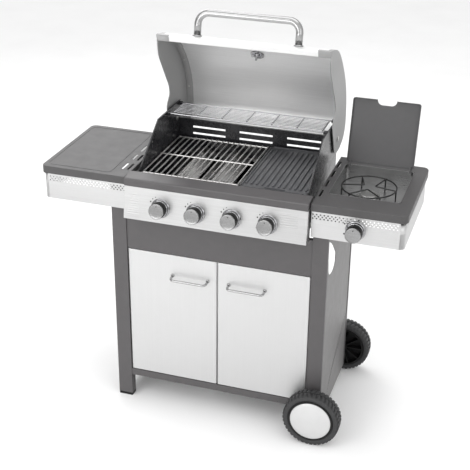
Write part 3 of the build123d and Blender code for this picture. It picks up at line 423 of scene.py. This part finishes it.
def cubic(points, n):
    """points along a smooth curve through the given (y, z) pairs"""
    p = np.array(points, float)
    t = np.concatenate([[0], np.cumsum(np.hypot(*np.diff(p, axis=0).T))])
    k = len(p)
    h = np.diff(t)
    A = np.zeros((k, k))
    B = np.zeros((k, 2))
    A[0, 0] = A[-1, -1] = 1
    for i in range(1, k - 1):
        A[i, i - 1], A[i, i], A[i, i + 1] = h[i - 1], 2 * (h[i - 1] + h[i]), h[i]
        B[i] = 6 * ((p[i + 1] - p[i]) / h[i] - (p[i] - p[i - 1]) / h[i - 1])
    m = np.linalg.solve(A, B)
    out = []
    for s in np.linspace(0, t[-1], n):
        i = min(max(int(np.searchsorted(t, s) - 1), 0), k - 2)
        a, b = (t[i + 1] - s) / h[i], (s - t[i]) / h[i]
        q = a * p[i] + b * p[i + 1] + ((a ** 3 - a) * m[i] + (b ** 3 - b) * m[i + 1]) * h[i] ** 2 / 6
        out.append((float(q[0]), float(q[1])))
    return out


def shift_line(points, d):
    """open (y, z) line moved sideways, positive to the right of its direction"""
    out = []
    n = len(points)
    for i, p in enumerate(points):
        a, b = points[max(i - 1, 0)], points[min(i + 1, n - 1)]
        ty, tz = b[0] - a[0], b[1] - a[1]
        L = math.hypot(ty, tz) or 1
        out.append((p[0] + d * tz / L, p[1] - d * ty / L))
    return out


def strip_into(bm, outer, inner, x0, x1):
    """solid between two (y, z) lines of equal length, from x0 to x1"""
    n = len(outer)
    def col(line, x):
        return [bm.verts.new(P(x, a, b)) for a, b in line]
    o0, o1, i0, i1 = col(outer, x0), col(outer, x1), col(inner, x0), col(inner, x1)
    for k in range(n - 1):
        bm.faces.new((o0[k], o0[k + 1], o1[k + 1], o1[k]))
        bm.faces.new((i0[k], i1[k], i1[k + 1], i0[k + 1]))
        bm.faces.new((o0[k], i0[k], i0[k + 1], o0[k + 1]))
        bm.faces.new((o1[k], o1[k + 1], i1[k + 1], i1[k]))
    bm.faces.new((o0[0], o1[0], i1[0], i0[0]))
    bm.faces.new((o0[-1], i0[-1], i1[-1], o1[-1]))


# --------------------------------------------------- refined copies of plates
for node, mat, slot in (
    ("legs_left", "leg_paint", "dark_paint"), ("legs_right", "leg_paint", "dark_paint"),
    ("lower_rail_front", "leg_paint", "dark_paint"), ("apron_front", "leg_paint", "dark_paint"),
    ("rear_rails", "leg_paint", "dark_paint"), ("front_trim", "trim_paint", "dark_paint"),
    ("base_shelf", "leg_paint", "dark_paint"),
    ("side_panel_left", "side_paint", "side_paint"), ("side_panel_right", "side_paint", "side_paint"),
    ("firebox_side_left", "enamel", "black_enamel"), ("firebox_side_right", "enamel", "black_enamel"),
    ("firebox_floor", "enamel", "black_enamel"), ("firebox_rear_wall", "enamel", "black_enamel"),
    ("flame_tamers", "tamer_steel", "stainless"), ("grease_tray", "galv", "galvanised"),
):
    adopt(node, mat, "tray" if node == "grease_tray" else "cart", bevel=0.0004)
adopt("shelf_left_top", "shelf_paint", "cart", 0.0003, 40)
adopt("shelf_right_top", "shelf_paint", "cart", 0.0003, 40)
adopt("shelf_left_fascia", "skirt_steel", "cart", 0.0, 40)
adopt("shelf_right_fascia", "skirt_steel", "cart", 0.0, 40)
adopt("control_panel", "panel_steel", "cart", 0.0, None)
adopt("side_burner_lid", "lid_paint", "side_lid", 0.0004, 35)
adopt("side_burner_pan", "pan", "cart", 0.0004, 40)
adopt("door_left", "door", "left_door", 0.0005, 40)
adopt("door_right", "door", "right_door", 0.0005, 40)
adopt("burner_tubes", "tube_steel", "cart", 0.0, 40)
adopt("leg_feet", "plastic", "cart", 0.0008, 40)
adopt("manifold_pipe", "zinc", "cart", 0.0003, 40)
adopt("gas_valves", "brass", "cart", 0.0004, 40)
adopt("axle", "zinc", "cart", 0.0003, 40)
adopt("door_hinge_pins", "zinc", "cart", 0.0003, 40)
adopt("hood_hinge_pins", "zinc", "cart", 0.0004, 40)
for k in range(1, 6):
    adopt("valve_stem_%d" % k, "zinc", "stem_%d" % k, 0.0003, 40)

# ------------------------------------------------------------------------ hood
HOOD_OUT = ((248, 1303), (296, 1296), (350, 1279), (400, 1244), (447, 1195), (484, 1147), (511, 1098), (528, 1046), (534, 1000), (534, 962), (520, 930), (492, 908))
HALF = 299.8
line = cubic(HOOD_OUT, 90)


def near(t):
    """point and outward normal on the hood curve, t along its length"""
    i = min(max(int(round(t * 89)), 1), 88)
    a, b = line[i - 1], line[i + 1]
    ty, tz = b[0] - a[0], b[1] - a[1]
    L = math.hypot(ty, tz)
    return line[i], (-tz / L, ty / L)


bm = bmesh.new()
skin = [(253.8, 1281.6), (249.4, 1296.6), (248.2, 1301.4)] + line[1:]
strip_into(bm, skin, shift_line(skin, 1.2), -HALF, HALF)
shell = add_object("hood_sheet", bm, "hood_steel", "hood", ("hood_shell",), 50, 0.0003)

CAP_RIM = [(492, 908), (455, 899), (420, 896.8), (396, 899), (379, 906), (368, 922), (358, 947), (345, 975), (333, 1000), (330, 1014), (333, 1028), (345, 1042), (355, 1054), (358, 1066), (355, 1086),
           (336, 1118), (300, 1170), (274, 1208), (262, 1229), (256, 1250), (253, 1272), (249, 1295)]
rim = cubic(CAP_RIM[:-1], 70)
outline = line[::-1][:-1] + [(247.6, 1302.2)] + rim[::-1]
seen = []
for q in outline:
    if not seen or math.hypot(q[0] - seen[-1][0], q[1] - seen[-1][1]) > 0.4:
        seen.append(q)
outline = seen
for side, tag in ((-1, "left"), (1, "right")):
    bm = bmesh.new()
    x_in, x_out = side * 299.9, side * 302.0
    prism_into(bm, [P(x_in, a, b) for a, b in outline], ((x_out - x_in) / 1000.0, 0, 0))
    # rolled edge that wraps over the shell
    wrap = line[1:]
    strip_into(bm, shift_line(wrap, -0.45), shift_line(wrap, -0.05), side * 286.0, side * 302.0)
    # the wrap widens over the front lip
    lipw = [(254.6, 1281.2), (248.6, 1297.0), (247.4, 1303.6), (252, 1303.8), (262, 1302.8)]
    strip_into(bm, shift_line(lipw, -0.9), shift_line(lipw, 0.1), side * 258.0, side * 302.0)
    # inner flange with its rivets
    fl = line[3:]
    strip_into(bm, shift_line(fl, 1.5), shift_line(fl, 3.0), side * 275.0, side * 300.2)
    # rolled lower rim for stiffness
    sweep_into(bm, [P(side * 300.6, a, b) for a, b in rim[4:]], 0.0019, 10)
    for v in bm.verts:
        v.co.y = min(v.co.y, cad_hi[1] - 0.0001)
    add_object("hood_end_%s" % tag, bm, "cap_paint", "hood", ("hood_cap_%s" % tag,), 40, 0.0005, 50)
    bm = bmesh.new()
    for t in (0.09, 0.30, 0.52, 0.74, 0.93):
        (py, pz), (ny, nz) = near(t)
        lathe_into(bm, P(side * 290, py - 3.0 * ny, pz - 3.0 * nz), (0, -ny, -nz), [(0, 0.0021), (0.0018, 0.0018), (0.0032, 0.0008), (0.0036, 0), (0.0036, -0.0012), (0, -0.0012)], 18)
        lathe_into(bm, P(side * 293, py + 0.4 * ny, pz + 0.4 * nz), (0, ny, nz), [(0, 0.0012), (0.0018, 0.0010), (0.0032, 0.0005), (0.0036, 0), (0.0036, -0.0006), (0, -0.0006)], 18)
    add_object("hood_rivets_%s" % tag, bm, "zinc", "hood", (), 40)

(hy, hz), (ny, nz) = (306.226, 1293.803), (0.22511, 0.97433)


def hp(x, h):
    return P(x, hy + h * ny, hz + h * nz)


bm = bmesh.new()
path = round_path([hp(-177, 3), hp(-177, 80), hp(177, 80), hp(177, 3)], 0.047, 14)
sweep_into(bm, path, 0.0125, 28)
add_object("hood_handle_tube", bm, "handle_steel", "hood", ("hood_handle",), 40)
bm = bmesh.new()
for x in (-177, 177):
    lathe_into(bm, hp(x, 0.3), (0, ny, nz), [(0, 0), (0.0160, 0), (0.0166, 0.0010), (0.0160, 0.0030), (0.0142, 0.0044), (0.0129, 0.0050), (0.0, 0.0050)], 40)
    lathe_into(bm, hp(x, -1.6), (0, -ny, -nz), [(0, 0), (0.0085, 0), (0.0085, 0.0012), (0.006, 0.0013), (0.006, 0.0048), (0.0055, 0.0054), (0, 0.0054)], 24)
add_object("hood_handle_collars", bm, "handle_steel", "hood", (), 35)

# thermometer: bezel, glass, dial, needle, stem and nut
(ty_, tz_), (uy, uz) = (430.102, 1214.084), (0.735618, 0.677397)


def tp(h):
    return P(0, ty_ + h * uy, tz_ + h * uz)


ax = (0, uy, uz)
bm = bmesh.new()
lathe_into(bm, tp(0), ax, [(0, 0.0006), (0.027, 0.0006), (0.027, 0.004), (0.0325, 0.0042), (0.0330, 0.0055), (0.0330, 0.0120), (0.0322, 0.0140), (0.0305, 0.0146), (0.0296, 0.0138), (0.0296, 0.0105), (0, 0.0105)], 72)
lathe_into(bm, tp(0), ax, [(0, -0.001), (0.0058, -0.001), (0.0058, -0.0035), (0.0105, -0.0036), (0.0105, -0.0072), (0.0058, -0.0074), (0.0058, -0.0105), (0.0042, -0.0125), (0.0040, -0.0190), (0.0030, -0.0240), (0.0024, -0.0250), (0, -0.0252)], 36)
lathe_into(bm, tp(0), ax, [(0, -0.0020), (0.0238, -0.0022), (0.0241, -0.0028), (0.0232, -0.0036), (0.0150, -0.0040), (0, -0.0042)], 56)
for sg in (-1, 1):
    wing = [tp(-4.0) + Vector((sg * 0.006, 0, 0)), tp(-4.0) + Vector((sg * 0.0175, 0, 0)), tp(-12.5) + Vector((sg * 0.0205, 0, 0)), tp(-14.0) + Vector((sg * 0.0165, 0, 0)), tp(-10.0) + Vector((sg * 0.005, 0, 0))]
    off = Vector(ax).normalized().cross(Vector((1, 0, 0))) * 0.0022
    prism_into(bm, [w - off * 0.5 for w in wing], off)
add_object("gauge_case", bm, "chrome", "hood", ("thermometer",), 35)
bm = bmesh.new()
lathe_into(bm, tp(0), ax, [(0, 0.0106), (0.0294, 0.0106), (0.0294, 0.0110), (0, 0.0110)], 72)
add_object("gauge_dial", bm, "dial_white", "hood", (), 35)
bm = bmesh.new()
axv = Vector(ax).normalized()
xv = Vector((1, 0, 0))
yv = axv.cross(xv)
for k in range(31):
    a = math.radians(225 - 9 * k)
    L = 0.0050 if k % 5 == 0 else 0.0028
    w = 0.00045 if k % 5 == 0 else 0.00025
    d = xv * math.cos(a) - yv * math.sin(a) * (-1)
    s = axv.cross(d)
    c = tp(11.05) + d * (0.0275 - L)
    prism_into(bm, [c - s * w, c - s * w + d * L, c + s * w + d * L, c + s * w], axv * 0.0002)
add_object("gauge_ticks", bm, "print_and_shade_black", "hood", ())
bm = bmesh.new()
a = math.radians(222)
d = xv * math.cos(a) + yv * math.sin(a)
s = axv.cross(d)
c = tp(11.4)
prism_into(bm, [c - s * 0.0007 - d * 0.006, c - s * 0.0002 + d * 0.022, c + s * 0.0002 + d * 0.022, c + s * 0.0007 - d * 0.006], axv * 0.0005)
lathe_into(bm, tp(11.2), ax, [(0, 0), (0.0022, 0), (0.0022, 0.0009), (0.0014, 0.0014), (0, 0.0015)], 24)
add_object("gauge_needle", bm, "red_ink", "hood", (), 35)
bm = bmesh.new()
lathe_into(bm, tp(0), ax, [(0, 0.0128), (0.0294, 0.0128), (0.0294, 0.0136), (0.015, 0.0142), (0, 0.0144)], 64)
add_object("gauge_glass", bm, "glass", "hood", (), 35)

# ------------------------------------------------------------------- handles
for x, body, tag in ((-98, "left_door", "left"), (106, "right_door", "right")):
    bm = bmesh.new()
    pts = round_path([P(x - 64, 2.6, 532.2), P(x - 64, -24, 527), P(x + 64, -24, 527), P(x + 64, 2.6, 532.2)], 0.012, 9)
    sweep_into(bm, pts, 0.0041, 20)
    for dx in (-64, 64):
        lathe_into(bm, P(x + dx, 3.0, 532.2), (0, -1, 0), [(0, 0), (0.0066, 0), (0.0068, 0.0012), (0.0062, 0.0030), (0.0046, 0.0040), (0, 0.0041)], 28)
    add_object("door_bow_%s" % tag, bm, "handle_steel", body, ("door_handle_%s" % tag,), 40)

# ---------------------------------------------------------- knobs and bezels
SL = 14.0 / 112.0
LN = math.hypot(1, SL)
KN = [Vector((0, -1 / LN, SL / LN))] * 4 + [Vector((0, -1, 0))]
KP = [P(x, -44 + SL * 52, 802) for x in (-185, -62, 62, 185)] + [P(466, -10, 812)]
bezels = bmesh.new()
dots = bmesh.new()
for i in range(5):
    n, o = KN[i], KP[i]
    lathe_into(bezels, o, n, [(0.0262, 0.0002), (0.0330, 0.0002), (0.0334, 0.0010), (0.0326, 0.0026), (0.0310, 0.0040), (0.0298, 0.0049), (0.0292, 0.0046), (0.0290, 0.0030), (0.0262, 0.0026)], 72, closed=True)
    x = Vector((1, 0, 0))
    up = n.cross(x) * -1 if n.cross(x).z < 0 else n.cross(x)
    # setting marks beside the knob: growing dots on the opening side
    for a, r in ((152, 2.6), (134, 2.1), (117, 1.6), (205, 2.8)):
        c = o + (x * math.cos(math.radians(a)) + up * math.sin(math.radians(a))) * 0.040
        lathe_into(dots, c, n, [(0, 0.00035), (r / 1000 * 0.8, 0.00035), (r / 1000, 0.0001), (r / 1000, -0.0001), (0, -0.0001)], 18)
    tag = i + 1
    body = "dial_%d" % tag
    # grip body: flutes round a black band, silver rings at both ends
    bm = bmesh.new()
    seg = 96
    prof = [(0.0254, 0.0120), (0.0272, 0.0130), (0.0272, 0.0345), (0.0262, 0.0365), (0.0248, 0.0375)]
    ax_ = n
    xd = (x - ax_ * x.dot(ax_)).normalized()
    yd = ax_.cross(xd)
    rings = []
    for r, h in prof:
        ring = []
        for k in range(seg):
            a = 2 * math.pi * k / seg
            rr = r - (0.00055 if (k % 3 == 0 and 0.0125 < h < 0.036) else 0)
            ring.append(bm.verts.new(o + ax_ * h + (xd * math.cos(a) + yd * math.sin(a)) * rr))
        rings.append(ring)
    for a_, b_ in zip(rings, rings[1:]):
        for k in range(seg):
            bm.faces.new((a_[k], a_[(k + 1) % seg], b_[(k + 1) % seg], b_[k]))
    bm.faces.new(rings[0][::-1])
    bm.faces.new(rings[-1])
    add_object("knob_%d_grip" % tag, bm, "knob_grip", body, ("knob_%d" % tag,), 30)
    bm = bmesh.new()
    lathe_into(bm, o, n, [(0, 0.0085), (0.0270, 0.0085), (0.0288, 0.0092), (0.0290, 0.0105), (0.0284, 0.0122), (0.0262, 0.0132), (0, 0.0132)], 72)
    add_object("knob_%d_skirt" % tag, bm, "chrome", body, (), 30)
    bm = bmesh.new()
    lathe_into(bm, o, n, [(0, 0.0370), (0.0252, 0.0370), (0.0263, 0.0378), (0.0265, 0.0402), (0.0258, 0.0424), (0.0243, 0.0431), (0.0228, 0.0426), (0.0215, 0.0421), (0.012, 0.0417), (0, 0.0416)], 72)
    add_object("knob_%d_face" % tag, bm, "knob_face", body, (), 30)
    bm = bmesh.new()
    c = o + up * 0.0172
    lathe_into(bm, c, n, [(0, 0.0425), (0.0016, 0.0425), (0.0019, 0.0421), (0.0019, 0.0410), (0, 0.0410)], 20)
    add_object("knob_%d_dot" % tag, bm, "print_and_shade_black", body, (), 30)
add_object("bezel_rings", bezels, "chrome", "cart", ("knob_bezels",), 35)
add_object("setting_marks", dots, "print_and_shade_black", "cart", (), 35)

# ------------------------------------------------- cooking surfaces and wires
bm = bmesh.new()
for k in range(17):
    x = -286 + 21 * k
    sweep_into(bm, [P(x, 50.3, 879.3), P(x, 50.9, 879.3), P(x, 140, 879.3), P(x, 235, 879.3), P(x, 330, 879.3), P(x, 418.2, 879.3), P(x, 418.8, 879.3)],
               [0.0024, 0.003, 0.003, 0.003, 0.003, 0.003, 0.0024], 16)
for y, z, r in ((60, 879.3, 3.0), (232, 882.6, 2.6), (412, 879.3, 3.0)):
    sweep_into(bm, [P(-288.8, y, z), P(-288.2, y, z), P(-118, y, z), P(52.2, y, z), P(52.8, y, z)],
               [r * 0.0008, r * 0.001, r * 0.001, r * 0.001, r * 0.0008], 16)
add_object("grate_rods", bm, "grate", "grate", ("cooking_grate",), 50)
adopt("griddle", "iron", "plate", 0.0008, 45)

bm = bmesh.new()
for y in (304, 421):
    sweep_into(bm, [P(-287.6, y, 1006.4), P(-286.8, y, 1006.4), P(0, y, 1006.4), P(286.8, y, 1006.4), P(287.6, y, 1006.4)],
               [0.0022, 0.0029, 0.0029, 0.0029, 0.0022], 16)
for k in range(7):
    x = -270 + 90 * k
    sweep_into(bm, [P(x, 302.5, 1006.4), P(x, 362, 1006.4), P(x, 422.5, 1006.4)], 0.0023, 14)
for k in range(8):
    y = 317 + 13 * k
    sweep_into(bm, [P(-269.6, y, 1010), P(-269, y, 1010), P(0, y, 1010), P(269, y, 1010), P(269.6, y, 1010)],
               [0.0011, 0.0016, 0.0016, 0.0016, 0.0011], 12)
add_object("rack_wires", bm, "chrome", "rack", ("warming_rack",), 50)

TX, TY, TZ = 462, 205, 873
bm = bmesh.new()
sweep_into(bm, [P(TX + 91 * math.cos(2 * math.pi * k / 96), TY + 91 * math.sin(2 * math.pi * k / 96), TZ) for k in range(96)], 0.0026, 14, closed=True)
for k in range(3):
    a = math.radians(30 + 120 * k)
    e0, e1 = a - math.radians(34), a + math.radians(34)
    pts = [P(TX + 91 * math.cos(e0), TY + 91 * math.sin(e0), 827.6), P(TX + 91 * math.cos(e0), TY + 91 * math.sin(e0), TZ),
           P(TX + 22 * math.cos(a), TY + 22 * math.sin(a), TZ), P(TX + 91 * math.cos(e1), TY + 91 * math.sin(e1), TZ), P(TX + 91 * math.cos(e1), TY + 91 * math.sin(e1), 827.6)]
    sweep_into(bm, round_path(pts, 0.004, 6), 0.0024, 14)
add_object("pot_wires", bm, "wire_black", "pot_stand", ("trivet",), 50)

bm = bmesh.new()
HB = P(TX, TY, 0)
lathe_into(bm, HB, (0, 0, 1), [(0, 0.8040), (0.0195, 0.8040), (0.0203, 0.8060), (0.0203, 0.8340), (0.0250, 0.8360), (0.0360, 0.8365), (0.0378, 0.8385), (0.0378, 0.8425), (0.0362, 0.8440), (0.0304, 0.8440), (0.0300, 0.8446),
                               (0.0300, 0.8474), (0.0284, 0.8489), (0.0100, 0.8489), (0, 0.8489)], 96)
sweep_into(bm, [P(TX, 26.5, 812), P(TX, 27.5, 812), P(TX, 90, 812), P(TX, 190, 812)], [0.0082, 0.0090, 0.0090, 0.0090], 28)
add_object("burner_body", bm, "burner", "cart", ("side_burner_head",), 35)
# painted shade: small black blocks on the burner rim stand in for the dark open flame ports
bm = bmesh.new()
for k in range(36):
    a = 2 * math.pi * k / 36
    d = Vector((math.cos(a), math.sin(a), 0))
    t = Vector((-math.sin(a), math.cos(a), 0))
    c = P(TX, TY, 839.4)
    prism_into(bm, [c + d * 0.0371 - t * 0.0008, c + d * 0.03798 - t * 0.0008, c + d * 0.03798 + t * 0.0008, c + d * 0.0371 + t * 0.0008], (0, 0, 0.0024))
add_object("burner_port_shade_marks", bm, "print_and_shade_black", "cart", ())

# --------------------------------------------------------------------- wheels
for tag, y_in, s in (("front", -26.6, -1), ("rear", 421.6, 1)):
    body = tag + "_wheel"
    o = P(366, y_in, 100)
    ax = Vector((0, s, 0))
    bm = bmesh.new()
    lathe_into(bm, o, ax, [(0.0786, 0.0030), (0.0815, 0.0012), (0.0850, 0.0004), (0.0858, 0.0011), (0.0872, 0.0011), (0.0880, 0.0003), (0.0915, 0.0008), (0.0942, 0.0022), (0.0960, 0.0046), (0.0968, 0.0080),
                           (0.0971, 0.0160), (0.0971, 0.0380), (0.0968, 0.0460), (0.0960, 0.0494), (0.0942, 0.0518), (0.0915, 0.0532), (0.0880, 0.0537), (0.0872, 0.0529), (0.0858, 0.0529), (0.0850, 0.0536),
                           (0.0815, 0.0528), (0.0786, 0.0510)], 144, closed=True)
    x = Vector((1, 0, 0))
    z = ax.cross(x)

    def at(r, a, h):
        return o + ax * h + (x * math.cos(a) + z * math.sin(a)) * r

    N = 40
    for row, (h0, h1, off, skew) in enumerate(((0.0042, 0.0250, 0.0, 0.045), (0.0290, 0.0498, 0.5, -0.045))):
        for k in range(N):
            a0 = 2 * math.pi * (k + off) / N
            half = 2 * math.pi / N * 0.31
            cols = []
            for h in (h0, (h0 + h1) / 2, h1):
                sk = skew * ((h - h0) / (h1 - h0) - 0.5)
                edge_h = h in (h0 if row == 0 else h1,)
                top = 0.0988 if edge_h else 0.0998
                cols.append([(0.0962, a0 + sk - half * 1.08, h), (top, a0 + sk - half, h), (top + 0.0001, a0 + sk, h), (top, a0 + sk + half, h), (0.0962, a0 + sk + half * 1.08, h)])
            rings = [[bm.verts.new(at(*q)) for q in c] for c in cols]
            for p, q in zip(rings, rings[1:]):
                for j in range(4):
                    bm.faces.new((p[j], p[j + 1], q[j + 1], q[j]))
                bm.faces.new((p[4], p[0], q[0], q[4]))
            bm.faces.new(rings[0][::-1])
            bm.faces.new(rings[-1])
            # shoulder block running down the side wall
            hs, dh = (0.0042, 0.0030) if row == 0 else (0.0498, -0.0030)
            pts = []
            for aa in (-half * 0.8, half * 0.8):
                a1 = a0 + aa + (skew * (-0.5 if row == 0 else 0.5))
                pts.append([at(0.0975, a1, hs + dh), at(0.0978, a1, hs), at(0.0948, a1, hs - dh * 0.75), at(0.0925, a1, hs - dh * 0.95), at(0.0925, a1, hs - dh * 0.2)])
            v0 = [bm.verts.new(p) for p in pts[0]]
            v1 = [bm.verts.new(p) for p in pts[1]]
            bm.faces.new(v0)
            bm.faces.new(v1[::-1])
            for j in range(5):
                bm.faces.new((v0[j], v1[j], v1[(j + 1) % 5], v0[(j + 1) % 5]))
    add_object("tyre_%s" % tag, bm, "rubber", body, ("wheel_%s_tyre" % tag,), 35)
    adopt("wheel_%s_rim" % tag, "plastic", body, 0.0006, 40)
    bm = bmesh.new()
    lathe_into(bm, o, ax, [(0, 0.0600), (0.055, 0.0570), (0.0690, 0.0512), (0.0708, 0.0512), (0.0715, 0.0522), (0.0712, 0.0536), (0.0690, 0.0552), (0.0600, 0.0587), (0.0450, 0.0617), (0.0300, 0.0633), (0.0150, 0.0640), (0, 0.0640)], 128)
    add_object("hub_cap_%s" % tag, bm, "wheel_silver", body, ("wheel_%s_cap" % tag,), 40)

# ------------------------------------------------ screws on the visible sheets
bm = bmesh.new()


def screw(p, n, r=0.0042, h=0.0020):
    lathe_into(bm, p, n, [(0, -0.0006), (r, -0.0006), (r, 0.0003), (r * 0.92, h * 0.6), (r * 0.55, h), (r * 0.30, h), (r * 0.26, h * 0.45), (0, h * 0.45)], 24)


for x in (-560, -400, 400, 590):
    screw(P(x, 26, 859.8), (0, 0, -1))
add_object("cart_screws", bm, "zinc", "cart", (), 35)

# -------------------------------------------------------- ground, light, view
world = bpy.data.worlds.new("studio")
bpy.context.scene.world = world
world.use_nodes = True
wt = world.node_tree
wt.nodes.clear()
wo = wt.nodes.new("ShaderNodeOutputWorld")
bg = wt.nodes.new("ShaderNodeBackground")
wc = wt.nodes.new("ShaderNodeTexCoord")
ws = wt.nodes.new("ShaderNodeSeparateXYZ")
wt.links.new(wc.outputs["Generated"], ws.inputs[0])
wx = remap(wt, ws.outputs[0], 0, 1, -0.75, 0.15)
wy = remap(wt, ws.outputs[1], 0, 1, -0.35, 0.35)
front = ramp(wt, wx, [(0.0, (0.30, 0.30, 0.30)), (0.35, (0.62, 0.62, 0.62)), (0.75, (1.15, 1.15, 1.15)), (1.0, (1.0, 1.0, 1.0))])
rear = ramp(wt, wx, [(0.0, (1.15, 1.15, 1.15)), (0.4, (0.95, 0.95, 0.95)), (0.8, (0.55, 0.55, 0.55)), (1.0, (0.75, 0.75, 0.75))])
wr = mix(wt, wy, (0, 0, 0), (0, 0, 0))
wm = wr.node
wt.links.new(front, wm.inputs[6])
wt.links.new(rear, wm.inputs[7])
wt.links.new(wr, bg.inputs[0])
bg.inputs[1].default_value = 1.0
wt.links.new(bg.outputs[0], wo.inputs[0])

fm, nt, b = new_mat("pale_floor")
fv = coords(nt, (1, 1, 1))
nt.links.new(mix(nt, remap(nt, noise(nt, fv, 3.0, 4.0), 0, 1, 0.3, 0.7), (0.93, 0.93, 0.93), (0.96, 0.96, 0.96)), b.inputs["Base Color"])
nt.links.new(remap(nt, noise(nt, fv, 40.0, 3.0), 0.75, 0.9), b.inputs["Roughness"])
b.inputs["Specular IOR Level"].default_value = 0.2
bm = bmesh.new()
R = 14.0
v = [bm.verts.new((R * math.cos(2 * math.pi * k / 64), R * math.sin(2 * math.pi * k / 64), 0)) for k in range(64)]
bm.faces.new(v)
me = bpy.data.meshes.new("floor")
bm.to_mesh(me)
bm.free()
floor = bpy.data.objects.new("floor", me)
bpy.context.scene.collection.objects.link(floor)
me.materials.append(fm)


def area(name, loc, target, size, power, size_y=None):
    d = bpy.data.lights.new(name, "AREA")
    d.energy = power
    d.size = size
    if size_y:
        d.shape = "RECTANGLE"
        d.size_y = size_y
    ob = bpy.data.objects.new(name, d)
    bpy.context.scene.collection.objects.link(ob)
    ob.location = loc
    ob.rotation_euler = (Vector(target) - Vector(loc)).to_track_quat("-Z", "Y").to_euler()
    return ob


area("key", (-1.9, -2.6, 3.4), (0, 0, 0.6), 2.2, 30, 2.2)
area("fill", (3.0, -2.4, 2.0), (0, 0, 0.6), 2.6, 14, 2.0)
area("top", (0.2, 0.5, 3.8), (0, 0, 0.7), 3.0, 34, 2.4)
area("front", (-1.1, -2.7, 1.25), (0, 0.1, 1.1), 1.8, 20, 1.0)
area("rim", (-1.8, 2.8, 2.6), (0, 0, 0.9), 2.0, 20, 1.6)

cam = bpy.data.cameras.new("view")
cam.lens = 81.97
cam.sensor_width = 36.0
cam_o = bpy.data.objects.new("view", cam)
bpy.context.scene.collection.objects.link(cam_o)
az, el, roll = math.radians(17.773), math.radians(26.341), math.radians(0.642)
back = Vector((math.sin(az) * math.cos(el), -math.cos(az) * math.cos(el), math.sin(el)))
right = (-back).cross(Vector((0, 0, 1))).normalized()
up = right.cross(-back)
r2 = right * math.cos(roll) + up * math.sin(roll)
u2 = up * math.cos(roll) - right * math.sin(roll)
mw = Matrix((r2, u2, back)).transposed().to_4x4()
mw.translation = (1.0318, -3.2438, 2.2973)
cam_o.matrix_world = mw
bpy.context.scene.camera = cam_o
bpy.context.scene.view_settings.view_transform = "Standard"
bpy.context.scene.view_settings.look = "None"
bpy.context.scene.view_settings.exposure = 0.14
